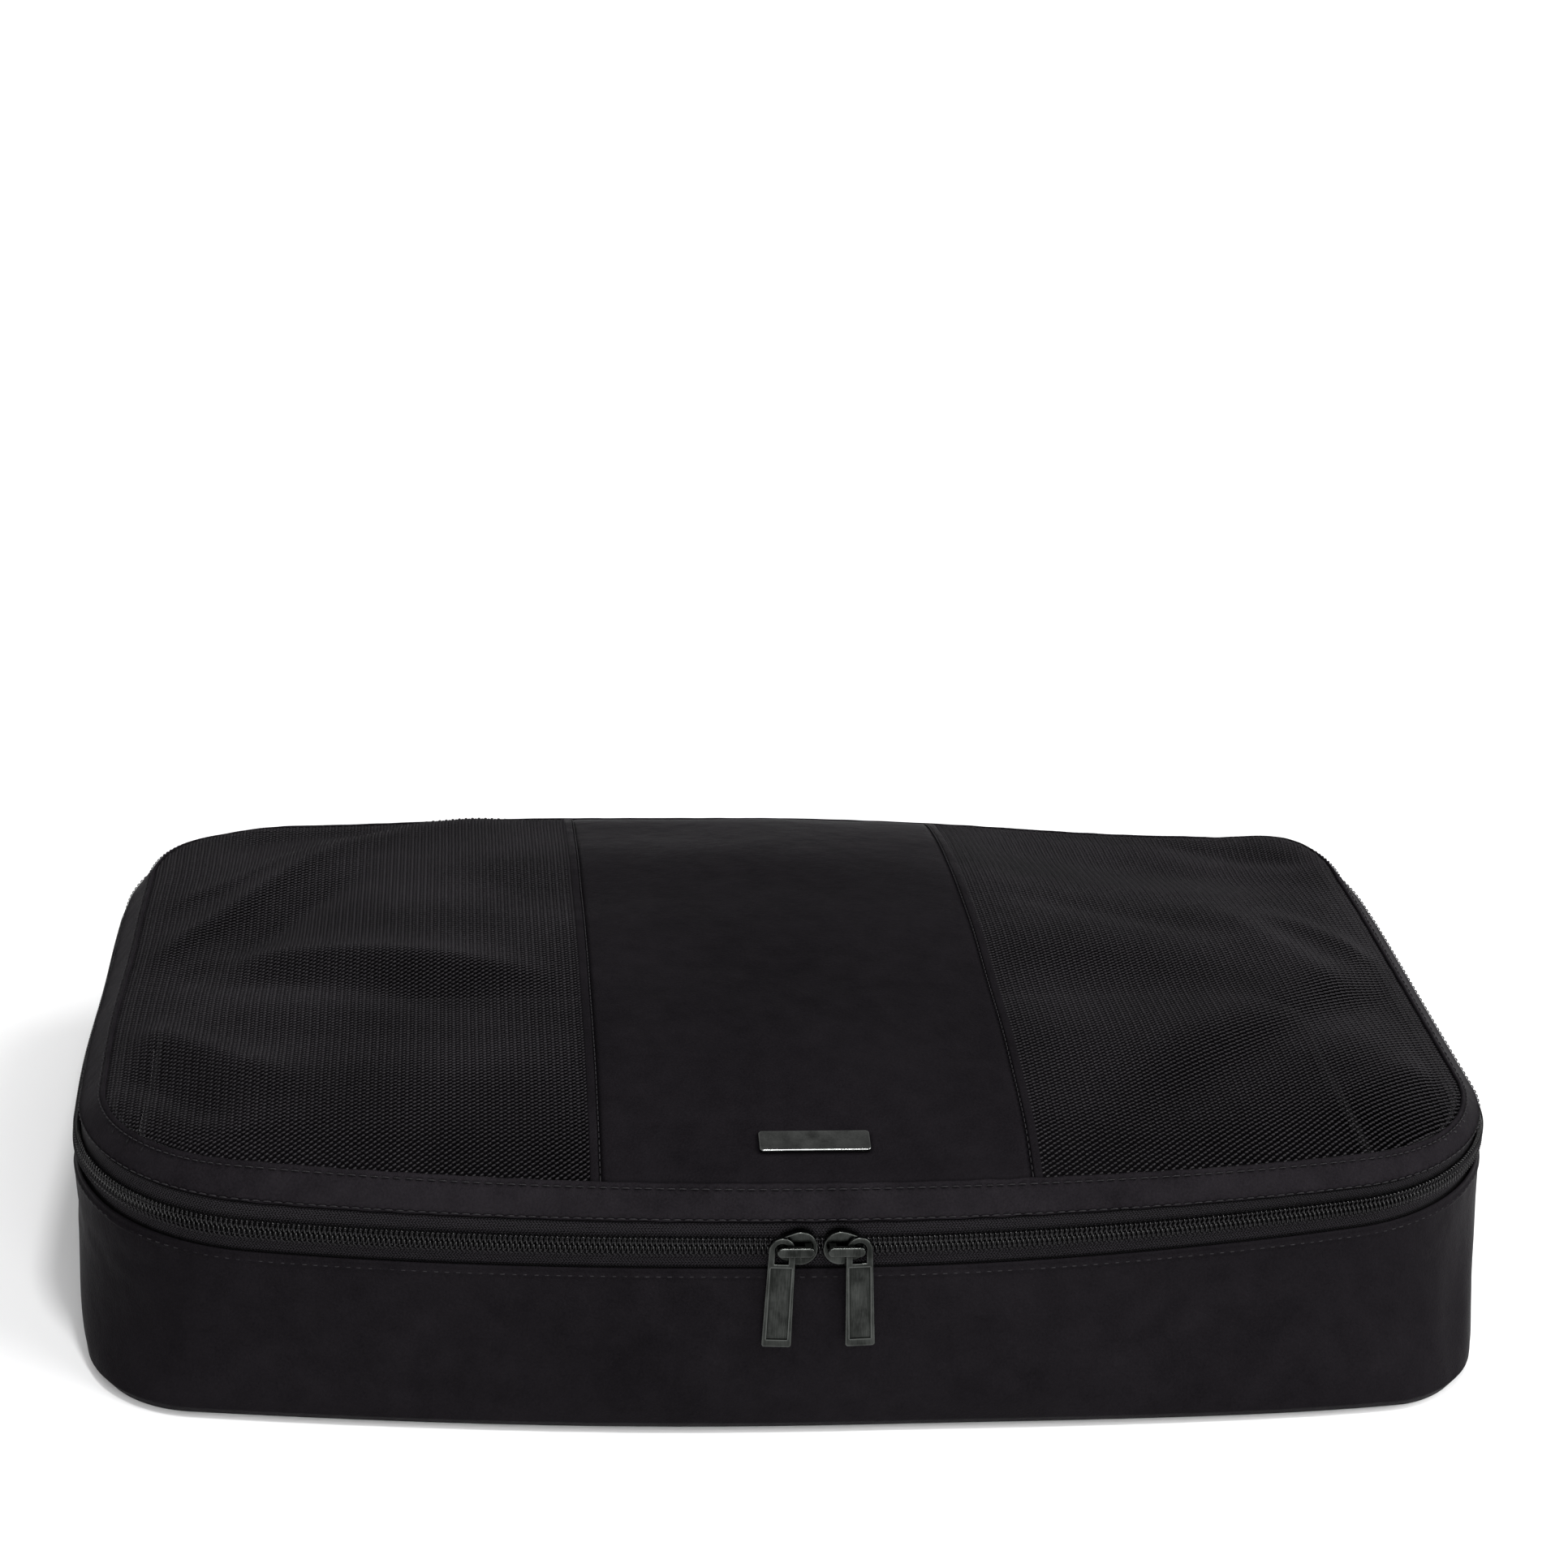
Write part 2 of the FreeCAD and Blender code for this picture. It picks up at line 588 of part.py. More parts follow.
def make_bridge(label):
    """The bridge over the slider: a rounded bar on a square foot and a round one."""
    body = new_body(label)
    bar = new_sketch(body, f"{label}_bar", "XZ_Plane", "Sizes.bridge_at")
    run = value("Sizes.bridge_half_length - Sizes.bridge_half_width")
    half = value("Sizes.bridge_half_width")
    shift = value("Sizes.bridge_shift")
    right = arc(bar, (shift + run, 0), half, -math.pi / 2, math.pi / 2)
    top = line(bar, (shift + run, half), (shift - run, half))
    left = arc(bar, (shift - run, 0), half, math.pi / 2, 3 * math.pi / 2)
    bottom = line(bar, (shift - run, -half), (shift + run, -half))
    join(bar, [right, top, left, bottom])
    bar.addConstraint(Sketcher.Constraint("Equal", right, left))
    bar.addConstraint(Sketcher.Constraint("PointOnObject", right, 3, -1))
    bar.addConstraint(Sketcher.Constraint("PointOnObject", left, 3, -1))
    bind(bar, Sketcher.Constraint("Radius", right, half), "half_width",
         "Sizes.bridge_half_width")
    bind(bar, Sketcher.Constraint("DistanceX", -1, 1, right, 3, shift + run), "right_end",
         "Sizes.bridge_shift + Sizes.bridge_half_length - Sizes.bridge_half_width")
    bind(bar, Sketcher.Constraint("DistanceX", left, 3, -1, 1, run - shift), "left_end",
         "Sizes.bridge_half_length - Sizes.bridge_half_width - Sizes.bridge_shift")
    pad(body, bar, "Sizes.bridge_thickness")

    foot_at = "Sizes.outer_plate_at + Sizes.plate_thickness"
    rise = f"Sizes.bridge_at - ({foot_at})"
    peg = new_sketch(body, f"{label}_peg", "XZ_Plane", foot_at)
    radius = value("Sizes.tail_foot_radius")
    centre = value("Sizes.tail_foot_at")
    ring = peg.addGeometry(Part.Circle(V(-centre, 0, 0), UP, radius))
    peg.addConstraint(Sketcher.Constraint("PointOnObject", ring, 3, -1))
    bind(peg, Sketcher.Constraint("Radius", ring, radius), "radius", "Sizes.tail_foot_radius")
    bind(peg, Sketcher.Constraint("DistanceX", ring, 3, -1, 1, centre), "foot_at",
         "Sizes.tail_foot_at")
    pad(body, peg, rise)
    block_foot = new_sketch(body, f"{label}_foot", "XZ_Plane", foot_at)
    rectangle(block_foot, "Sizes.shoulder_foot_at - Sizes.shoulder_foot_length / 2",
              "Sizes.shoulder_foot_at + Sizes.shoulder_foot_length / 2",
              "-Sizes.shoulder_foot_width / 2", "Sizes.shoulder_foot_width / 2")
    pad(body, block_foot, rise)
    face = SIZES["bridge_at"] + SIZES["bridge_thickness"]
    round_edges(body, "1.5 * Sizes.edge_round", lambda edge: facing_out(edge, face))
    return keep(body, label)


def pull_outline(sketch):
    """A round loop at the top, sides that flare a little, and a square foot."""
    radius = value("Sizes.pull_loop_radius")
    foot = value("Sizes.pull_foot_half_width")
    drop = value("Sizes.pull_drop")
    loop = arc(sketch, (0, 0), radius, 0, math.pi)
    left = line(sketch, (-radius, 0), (-foot, -drop))
    bottom = line(sketch, (-foot, -drop), (foot, -drop))
    right = line(sketch, (foot, -drop), (radius, 0))
    join(sketch, [loop, left, bottom, right], "Coincident")
    sketch.addConstraint(Sketcher.Constraint("Coincident", loop, 3, -1, 1))
    sketch.addConstraint(Sketcher.Constraint("PointOnObject", left, 1, -1))
    sketch.addConstraint(Sketcher.Constraint("PointOnObject", right, 2, -1))
    sketch.addConstraint(Sketcher.Constraint("Horizontal", bottom))
    bind(sketch, Sketcher.Constraint("Radius", loop, radius), "loop", "Sizes.pull_loop_radius")
    bind(sketch, Sketcher.Constraint("DistanceX", bottom, 1, -1, 1, foot), "left_foot",
         "Sizes.pull_foot_half_width")
    bind(sketch, Sketcher.Constraint("DistanceX", -1, 1, bottom, 2, foot), "right_foot",
         "Sizes.pull_foot_half_width")
    bind(sketch, Sketcher.Constraint("DistanceY", bottom, 1, -1, 1, drop), "drop",
         "Sizes.pull_drop")


def window_outline(sketch):
    """The loop's window: a round top about the foot that it hangs on, and a square sill."""
    half = value("Sizes.window_half_width")
    drop = value("Sizes.window_drop")
    top = arc(sketch, (0, 0), half, 0, math.pi)
    left = line(sketch, (-half, 0), (-half, -drop))
    sill = line(sketch, (-half, -drop), (half, -drop))
    right = line(sketch, (half, -drop), (half, 0))
    join(sketch, [top, left, sill, right], "Coincident")
    sketch.addConstraint(Sketcher.Constraint("Coincident", top, 3, -1, 1))
    sketch.addConstraint(Sketcher.Constraint("PointOnObject", left, 1, -1))
    sketch.addConstraint(Sketcher.Constraint("Vertical", left))
    sketch.addConstraint(Sketcher.Constraint("Vertical", right))
    sketch.addConstraint(Sketcher.Constraint("Horizontal", sill))
    bind(sketch, Sketcher.Constraint("Radius", top, half), "half_width",
         "Sizes.window_half_width")
    bind(sketch, Sketcher.Constraint("DistanceY", sill, 1, -1, 1, drop), "drop",
         "Sizes.window_drop")


def make_pull(label):
    """The pull tab: a flat blank bar with a loop, a recessed field and a bevelled foot."""
    body = new_body(label)
    outline = new_sketch(body, f"{label}_outline", "XZ_Plane", "Sizes.pull_at")
    pull_outline(outline)
    pad(body, outline, "Sizes.pull_thickness")
    round_edges(body, "Sizes.pull_corner",
                lambda edge: abs(edge.tangentAt(edge.FirstParameter).y) > 0.9
                and edge.CenterOfMass.z < -SIZES["pull_drop"] / 2)
    DOC.recompute()
    solid = body.Shape.Volume
    face = "Sizes.pull_at + Sizes.pull_thickness"
    window = new_sketch(body, f"{label}_window", "XZ_Plane", face)
    window_outline(window)
    pocket(body, window, "3 * Sizes.pull_thickness", both_ways=True)
    DOC.recompute()
    opened = body.Shape.Volume
    field = new_sketch(body, f"{label}_field", "XZ_Plane", face)
    rectangle(field, "-Sizes.field_half_width", "Sizes.field_half_width",
              "-Sizes.field_bottom", "-Sizes.field_top")
    pocket(body, field, "Sizes.field_depth")
    DOC.recompute()
    if not body.Shape.Volume < opened < solid:
        raise RuntimeError(f"{label}: the window or the field was not cut")
    front = SIZES["pull_at"] + SIZES["pull_thickness"]
    round_edges(body, "Sizes.edge_round", lambda edge: facing_out(edge, front)
                and (edge.CenterOfMass.z > -SIZES["window_drop"] - 0.1
                     or edge.CenterOfMass.z < -SIZES["field_bottom"] - 0.1
                     or abs(edge.CenterOfMass.x) > SIZES["field_half_width"] + 0.1))
    return keep(body, label)


def slider_place(side):
    """Where a slider sits: side is -1 for the left one and 1 for the right one."""
    bow_centre = V(0, SIZES["front_radius"] - SIZES["depth"] / 2, 0)
    reach = SIZES["front_radius"] - SIZES["zip_inset"]
    angle = side * math.degrees(math.asin(SIZES["slider_spacing"] / 2 / reach))
    round_bow = FreeCAD.Placement(V(0, 0, 0), FreeCAD.Rotation(UP, angle), bow_centre)
    at_middle = V(0, SIZES["zip_inset"] - SIZES["depth"] / 2, SIZES["zip_height"])
    leaning = FreeCAD.Rotation(V(1, 0, 0), -SIZES["zip_lean"])
    return round_bow.multiply(FreeCAD.Placement(at_middle, leaning))


def make_hardware():
    """Each slider faces the other with its shoulder; its pull tab hangs from its tail foot."""
    outward = V(0, 1, 0)
    for side, name in ((-1, "left"), (1, "right")):
        place = slider_place(side)
        turn = FreeCAD.Rotation(outward, 0 if side < 0 else 180)
        facing = place.multiply(FreeCAD.Placement(V(0, 0, 0), turn))
        make_slider_body(f"{name}_slider_body").Placement = facing
        make_bridge(f"{name}_slider_bridge").Placement = facing
        splay = FreeCAD.Rotation(outward, -side * SIZES["pull_splay"])
        hang = FreeCAD.Placement(V(side * SIZES["tail_foot_at"], 0, 0), splay)
        make_pull(f"{name}_pull_tab").Placement = place.multiply(hang)


# ---------------------------------------------------------------- build, check and write

make_bottom_panel()
make_wall()
make_back_wall()
make_bindings()
make_zip()
make_hinge()
shell("rim_band", [RIM_LOW, RIM_TOP], "Sizes.cloth")
make_top()
make_badge()
make_hardware()
DOC.recompute()

failed = [item.Name for item in DOC.Objects
          if "Invalid" in item.State or "Error" in item.State]
failed += [item.Label for item in PARTS if item.Shape.isNull() or not item.Shape.isValid()]
failed += [item.Label for item in PARTS if len(item.Shape.Solids) != 1]
if failed:
    raise RuntimeError("these did not build: " + ", ".join(failed))

os.makedirs("parts", exist_ok=True)
for item in PARTS:
    item.Shape.exportStep(f"parts/{item.Label}.step")
    box = item.Shape.BoundBox
    print(f"{item.Label}: {box.XMin:.1f}..{box.XMax:.1f}, {box.YMin:.1f}..{box.YMax:.1f}, "
          f"{box.ZMin:.1f}..{box.ZMax:.1f}, {item.Shape.Volume / 1000:.2f} cm3")
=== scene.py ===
import math
import bpy
import numpy as np
from mathutils import Matrix, Vector


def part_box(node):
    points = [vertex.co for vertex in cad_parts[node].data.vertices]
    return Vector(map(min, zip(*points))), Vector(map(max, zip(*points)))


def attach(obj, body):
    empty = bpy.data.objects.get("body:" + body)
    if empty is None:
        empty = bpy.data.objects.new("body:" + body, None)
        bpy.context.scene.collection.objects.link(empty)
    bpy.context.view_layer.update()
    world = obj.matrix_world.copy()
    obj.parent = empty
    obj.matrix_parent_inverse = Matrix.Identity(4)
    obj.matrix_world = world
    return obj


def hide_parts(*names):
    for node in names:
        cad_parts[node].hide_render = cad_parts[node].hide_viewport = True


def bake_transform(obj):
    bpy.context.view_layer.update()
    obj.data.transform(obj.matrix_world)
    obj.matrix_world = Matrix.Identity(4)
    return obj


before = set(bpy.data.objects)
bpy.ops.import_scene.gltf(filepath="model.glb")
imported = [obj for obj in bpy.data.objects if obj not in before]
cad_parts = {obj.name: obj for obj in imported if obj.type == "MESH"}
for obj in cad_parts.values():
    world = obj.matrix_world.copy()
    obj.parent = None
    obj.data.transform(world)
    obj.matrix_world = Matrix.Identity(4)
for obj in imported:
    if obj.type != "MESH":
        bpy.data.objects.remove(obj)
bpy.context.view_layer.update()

# Packing cube: cloth, mesh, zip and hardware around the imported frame.
# Metres, +Z up, +X to the right seen from the front, and the front faces -Y.

MM = 0.001

# ---------------------------------------------------------------- sizes

# from the frame
BELLY_OUT = 1.0 * MM
HALF_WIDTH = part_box("side_wall")[1][0] - BELLY_OUT
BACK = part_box("base_hinge_strip")[1][1]
HINGE_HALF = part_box("base_hinge_strip")[1][0]
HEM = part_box("side_wall")[1][2]
RIM_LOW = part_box("rim_band")[0][2]
RIM_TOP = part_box("rim_band")[1][2]
ZIP = (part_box("lower_coil")[1][2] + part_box("upper_coil")[0][2]) / 2
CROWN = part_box("centre_panel")[1][2] - RIM_TOP
BADGE_LOW, BADGE_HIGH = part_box("badge_plate")

# plan outlines: insets from the outline at the zip, and radii
FRONT_BOW = 800 * MM
CORNER = 70 * MM
RIM_LOW_INSET = 2 * MM
RIM_TOP_INSET = 10.5 * MM
RIM_TOP_CORNER = 49 * MM
CROWN_POWER = 2.8
PANEL_HALF = 63.5 * MM
PANEL_HEM = 3 * MM

# the wall at four heights: height, inset, corner radius, front bow radius
WALL = np.array([
    (0, 7 * MM, 32 * MM, 1500 * MM),
    (5 * MM, 2 * MM, 42 * MM, 1400 * MM),
    (29 * MM, -BELLY_OUT, 60 * MM, 880 * MM),
    (HEM, 0, CORNER, FRONT_BOW),
])

# the zip
ZIP_INSET = 2.7 * MM
ZIP_SLOPE = math.tan(math.radians(5))
COIL_PITCH = 1.5 * MM
TAPE_EDGE = 0.01 * MM
COIL_FAR = 2.85 * MM
COIL_OVERLAP = 0.4 * MM
COIL_OUT = 1.25 * MM
COIL_THICK = 0.72 * MM
COIL_THREAD = 0.33 * MM

# cloth, seams and thread
CLOTH = 0.9 * MM
TAPE = 0.5 * MM
STITCH_PITCH = 3.2 * MM
FINE_PITCH = 2.5 * MM
THREAD = 0.21 * MM
STITCH_GAP = 0.27
SWEEP_STEP = 2.4 * MM

# the mesh: columns of slanting bars, staggered like bricks, every second column a raised rib
COLUMN = 1.15 * MM
ROW = 1.7 * MM
BAR_HALF = 0.68 * MM
BAR_SLANT = 0.28 * MM
BAR_WIDTH = 0.44 * MM
RIB_RISE = 0.62 * MM
BAR_RISE = 0.40 * MM

RANDOM = np.random.default_rng(7)


# ---------------------------------------------------------------- small curves

def ease(low, high, value):
    """0 below low, 1 above high and a smooth step between."""
    share = np.clip((value - low) / (high - low), 0, 1)
    return share * share * (3 - 2 * share)


def hill(value, centre, width):
    """A smooth hill, one high."""
    return np.exp(-((value - centre) / width) ** 2)


def glide(at, places, values):
    """A smooth curve through a few values, as a Hermite spline with averaged slopes."""
    places = np.asarray(places, float)
    values = np.asarray(values, float)
    rises = np.diff(values) / np.diff(places)
    slopes = np.empty(len(places))
    slopes[0] = rises[0]
    slopes[-1] = rises[-1]
    slopes[1:-1] = (values[2:] - values[:-2]) / (places[2:] - places[:-2])
    span = np.clip(np.searchsorted(places, at) - 1, 0, len(places) - 2)
    width = places[span + 1] - places[span]
    t = (at - places[span]) / width
    return ((1 + 2 * t) * (1 - t) ** 2 * values[span] + t * (1 - t) ** 2 * width * slopes[span]
            + t * t * (3 - 2 * t) * values[span + 1] + t * t * (t - 1) * width * slopes[span + 1])


def ripple(u, v, size, seed, waves=7):
    """Smooth irregular waves of about one size, from -1 to 1, the same for the same seed."""
    draw = np.random.default_rng(seed)
    total = 0
    for _ in range(waves):
        heading = draw.uniform(0, 2 * math.pi)
        length = size * draw.uniform(0.7, 1.6)
        phase = draw.uniform(0, 2 * math.pi)
        total = total + np.sin(2 * math.pi * (u * math.cos(heading) + v * math.sin(heading))
                               / length + phase)
    return total / math.sqrt(waves) / 1.4


def unit(vectors):
    return vectors / np.maximum(np.linalg.norm(vectors, axis=-1, keepdims=True), 1e-12)


# ---------------------------------------------------------------- the plan outline

def plan_edges(inset, corner, bow):
    """The nine edges of the outline from the middle of the back, anticlockwise from above.

    An edge is ("line", start, end) or ("arc", centre, radius, first angle, last angle).
    """
    half = HALF_WIDTH - inset
    back = BACK - inset
    reach = half - corner
    bow_centre = bow - BACK
    corner_y = bow_centre - math.sqrt((bow - inset - corner) ** 2 - reach ** 2)
    swing = math.atan2(reach, bow_centre - corner_y)
    down = 1.5 * math.pi
    back_y = back - corner
    return [
        ("line", (0, back), (-reach, back)),
        ("arc", (-reach, back_y), corner, 0.5 * math.pi, math.pi),
        ("line", (-half, back_y), (-half, corner_y)),
        ("arc", (-reach, corner_y), corner, math.pi, down - swing),
        ("arc", (0, bow_centre), bow - inset, down - swing, down + swing),
        ("arc", (reach, corner_y), corner, down + swing, 2 * math.pi),
        ("line", (half, corner_y), (half, back_y)),
        ("arc", (reach, back_y), corner, 0, 0.5 * math.pi),
        ("line", (reach, back), (0, back)),
    ]


def edge_length(edge):
    if edge[0] == "line":
        return math.dist(edge[1], edge[2])
    return edge[2] * (edge[4] - edge[3])


ZIP_EDGES = plan_edges(ZIP_INSET, CORNER - ZIP_INSET, FRONT_BOW)
EDGE_AT = np.concatenate([[0], np.cumsum([edge_length(edge) for edge in ZIP_EDGES])])
ROUND = EDGE_AT[-1]
LEFT_CORNER = (EDGE_AT[3] + EDGE_AT[4]) / 2
RIGHT_CORNER = (EDGE_AT[5] + EDGE_AT[6]) / 2
CHAIN = (HINGE_HALF, ROUND - HINGE_HALF)
BEHIND = (ROUND - HINGE_HALF, ROUND + HINGE_HALF)


def plan(distances, inset, corner, bow):
    """Points and outward normals on an outline, at distances measured along the zip's."""
    distances = np.asarray(distances, float) % ROUND
    edges = plan_edges(inset, corner, bow)
    which = np.clip(np.searchsorted(EDGE_AT, distances, side="right") - 1, 0, 8)
    share = (distances - EDGE_AT[which]) / np.diff(EDGE_AT)[which]
    points = np.empty((len(distances), 2))
    normals = np.empty((len(distances), 2))
    for number, edge in enumerate(edges):
        here = which == number
        t = share[here, None]
        if edge[0] == "line":
            start = np.array(edge[1])
            end = np.array(edge[2])
            points[here] = start + t * (end - start)
            along = unit(end - start)
            normals[here] = (along[1], -along[0])
        else:
            angle = edge[3] + t[:, 0] * (edge[4] - edge[3])
            out = np.stack([np.cos(angle), np.sin(angle)], axis=1)
            points[here] = np.array(edge[1]) + edge[2] * out
            normals[here] = out
    return points, normals


def settle(points):
    """The whole soft case leans a little out of true, the same for every piece of cloth.

    Each eased value is 1 in the part of the case that it names, and the moves are millimetres.
    """
    x = points[..., 0] / HALF_WIDTH
    y = points[..., 1] / BACK
    z = points[..., 2]
    right = ease(0.6, 1.0, x)
    left = ease(0.6, 1.0, -x)
    rightward = ease(0.08, 0.9, x)
    leftward = ease(0.08, 0.9, -x)
    rear = ease(0.3, 1.0, y)
    corner = ease(0.55, 0.95, y)
    front = ease(0.1, 0.8, -y)
    high = ease(20 * MM, 75 * MM, z)
    seam = ease(0, 50 * MM, z) * (1 - 0.7 * ease(62 * MM, 80 * MM, z))
    low = 1 - high
    moved = points.copy()
    left_out = (1.6 * high - 1.2 * low) * front + 2.2 * high * hill(y, -0.2, 0.3)
    moved[..., 0] += (2.6 * rear - 2.9 * corner - left_out) * left * MM
    moved[..., 0] -= (3.0 + 2.5 * rear - 6.0 * corner + 4.6 * front * low) * right * MM
    right_end = ease(0.76, 0.92, x)
    left_end = ease(0.83, 0.96, -x)
    forward = 5.0 * ease(0.3, 0.8, x) * (1 - 0.8 * right_end)
    moved[..., 1] += (1.0 * left - forward) * MM * corner * high
    moved[..., 1] -= (5.5 * rightward - 2.0 * leftward) * MM * front * (1 - seam)
    sunk = 5.5 * ease(0.0, 0.7, x) * (1 - 0.8 * right_end)
    sunk = sunk + 3.0 * ease(0.3, 0.8, -x) * (1 - 0.9 * left_end)
    moved[..., 2] -= sunk * MM * ease(-0.2, 0.9, y) * ease(60 * MM, 80 * MM, z)
    moved[..., 2] += 2.0 * MM * (rightward - leftward) * front * seam
    return moved


# ---------------------------------------------------------------- meshes

def new_mesh(name, points, faces, weave=None, smooth=True):
    """A mesh object from points and faces of three or four corners each."""
    mesh = bpy.data.meshes.new(name)
    points = np.asarray(points, np.float32).reshape(-1, 3)
    groups = [np.asarray(group, np.int32) for group in faces if len(group)]
    corners = np.concatenate([group.ravel() for group in groups])
    sizes = np.concatenate([np.full(len(group), group.shape[1]) for group in groups])
    starts = np.concatenate([[0], np.cumsum(sizes)[:-1]])
    mesh.vertices.add(len(points))
    mesh.vertices.foreach_set("co", points.ravel())
    mesh.loops.add(len(corners))
    mesh.loops.foreach_set("vertex_index", corners)
    mesh.polygons.add(len(sizes))
    mesh.polygons.foreach_set("loop_start", starts.astype(np.int32))
    mesh.polygons.foreach_set("use_smooth", np.full(len(sizes), smooth))
    mesh.update(calc_edges=True)
    mesh.validate()
    if weave is not None:
        flat = mesh.attributes.new("weave", "FLOAT_VECTOR", "POINT")
        flat.data.foreach_set("vector", np.asarray(weave, np.float32).ravel())
    made = bpy.data.objects.new(name, mesh)
    bpy.context.scene.collection.objects.link(made)
    return made


def finish_piece(piece, material, body, replaced=()):
    piece.data.materials.append(material)
    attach(piece, body)
    if replaced:
        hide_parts(*replaced)
    return piece


def quads(rows, columns, wrap_rows=False, wrap_columns=False):
    """The faces of a grid of points, rows by columns, either way round closed or open."""
    row = np.arange(rows if wrap_rows else rows - 1)
    column = np.arange(columns if wrap_columns else columns - 1)
    r, c = np.meshgrid(row, column, indexing="ij")
    r_next = (r + 1) % rows
    c_next = (c + 1) % columns
    corners = [r * columns + c, r_next * columns + c, r_next * columns + c_next,
               r * columns + c_next]
    return np.stack([corner.ravel() for corner in corners], axis=1)


def skirt(border, count):
    """The faces that join the borders of an upper and a lower sheet of count points each."""
    following = np.roll(border, -1)
    return np.stack([border, border + count, following + count, following], axis=1)


def section_of(outer, thickness, rounding=0.45 * MM):
    """A closed section from the outer side's (inset, height) points, with rounded ends."""
    outer = np.asarray(outer, float)
    along = np.concatenate([[0], np.cumsum(np.linalg.norm(np.diff(outer, axis=0), axis=1))])
    tangent = unit(np.gradient(outer, axis=0))
    inward = np.stack([tangent[:, 1], -tangent[:, 0]], axis=1)
    near_end = np.minimum(along, along[-1] - along)
    bevel = 1 - np.sqrt(np.clip(1 - (1 - np.clip(near_end / rounding, 0, 1)) ** 2, 0, 1))
    face = outer + inward * (0.42 * thickness * bevel)[:, None]
    inner = outer + inward * (thickness * (1 - 0.42 * bevel))[:, None]
    return face, inner, inward, along


def sweep(name, span, step, levels, thickness, relief=None, closed=False):
    """A band of cloth swept round the outline.

    levels are the band's outer side from one edge to the other: height, inset, corner radius
    and bow radius. relief(distance, place) is how far the outer side stands out.
    """
    levels = np.asarray(levels, float)
    rows = max(8, int(round((span[1] - span[0]) / step)))
    distances = np.linspace(span[0], span[1], rows, endpoint=not closed)
    face, inner, inward, along = section_of(levels[:, [1, 0]], thickness)
    section = np.concatenate([face, inner[::-1]])
    near = np.arange(len(levels))
    order = np.concatenate([near, near[::-1]])
    around = len(order)
    points = np.empty((rows, around, 3))
    stand = np.zeros((rows, around))
    if relief is not None:
        stand = relief(distances[:, None], along[None, :])[:, order]
    for number, place in enumerate(order):
        _, inset, corner, bow = levels[place]
        at, height = section[number]
        xy, out = plan(distances, at, corner - (at - inset), bow)
        points[:, number, :2] = xy - out * (stand[:, number] * inward[place, 0])[:, None]
        points[:, number, 2] = height - stand[:, number] * inward[place, 1]
    faces = [quads(rows, around, wrap_rows=closed, wrap_columns=True)]
    if not closed:
        near = near[:-1]
        cap = np.stack([near, near + 1, around - 2 - near, around - 1 - near], axis=1)
        faces += [cap[:, ::-1] + (rows - 1) * around, cap]
    weave = np.zeros(points.shape)
    weave[..., 0] = distances[:, None]
    weave[..., 1] = along[order]
    return new_mesh(name, settle(points), faces, weave)


def ring_point(distances, level, out=0.0, lean=(1.0, 0.0)):
    """Points on the outline of one level, moved out along a lean of (outward, upward).

    out is how far: a number, one for each point, or a function of the distances.
    """
    height, inset, corner, bow = level
    xy, normal = plan(distances, inset, corner, bow)
    out = np.broadcast_to(out(distances) if callable(out) else out, len(xy))
    points = np.empty((len(xy), 3))
    points[:, :2] = xy + normal * (out * lean[0])[:, None]
    points[:, 2] = height + out * lean[1]
    facing = np.column_stack([normal * lean[0], np.full(len(xy), lean[1])])
    return settle(points), unit(facing)


def circles(along, across, sides):
    """Unit vectors all round each point of a line, the first of them across it."""
    angle = (2 * math.pi * np.arange(sides) / sides)[:, None]
    third = np.cross(along, across)
    return np.cos(angle) * across[:, None, :] + np.sin(angle) * third[:, None, :]


def tube(points, off_line, radius, sides=6):
    """Points and faces of a round thread along a line; off_line points away from the line."""
    along = unit(np.gradient(points, axis=0))
    across = unit(off_line - (off_line * along).sum(1, keepdims=True) * along)
    around = points[:, None, :] + radius[:, None, None] * circles(along, across, sides)
    return around, quads(len(points), sides, wrap_columns=True)


def stitches(name, starts, ends, outward, body, radius=THREAD, slot="nylon", look="thread"):
    """A row of stitches, each a short thread that rises from the cloth and dips back in."""
    shares = np.array([0.0, 0.1, 0.3, 0.7, 0.9, 1.0])
    rises = np.array([-1.3, -0.2, 0.6, 0.6, -0.2, -1.3]) * radius
    widths = np.array([0.55, 0.9, 1.0, 1.0, 0.9, 0.55]) * radius
    sides = 6
    run = ends - starts
    lines = starts[:, None, :] + shares[None, :, None] * run[:, None, :]
    lines = lines + rises[None, :, None] * outward[:, None, :]
    ring = circles(unit(run), unit(outward), sides)
    points = lines[:, :, None, :] + widths[None, :, None, None] * ring[:, None, :, :]
    size = len(shares) * sides
    first = np.array([[0, 3, 2, 1], [0, 5, 4, 3]])
    last = np.array([[0, 1, 2, 3], [0, 3, 4, 5]]) + size - sides
    one = np.concatenate([quads(len(shares), sides, wrap_columns=True), first, last])
    faces = (one[None] + size * np.arange(len(starts))[:, None, None]).reshape(-1, 4)
    return finish_piece(new_mesh(name, points, [faces]), LOOKS[look], body)


def stitch_places(first, last, pitch):
    """Where each stitch of a row starts and ends."""
    count = int((last - first) / pitch)
    starts = first + pitch * np.arange(count)
    starts = starts + RANDOM.uniform(-0.05, 0.05, count) * pitch
    return starts, starts + pitch * (1 - STITCH_GAP)


def ring_stitches(name, span, level, out, lean, body):
    """A row of stitches round the outline at one level."""
    starts, ends = stitch_places(span[0], span[1], STITCH_PITCH)
    a, facing = ring_point(starts, level, out, lean)
    b, _ = ring_point(ends, level, out, lean)
    stitches(name, a, b, facing, body)


# ---------------------------------------------------------------- materials

def assign(target, **values):
    """Set several properties of one thing."""
    for key, value in values.items():
        setattr(target, key, value)


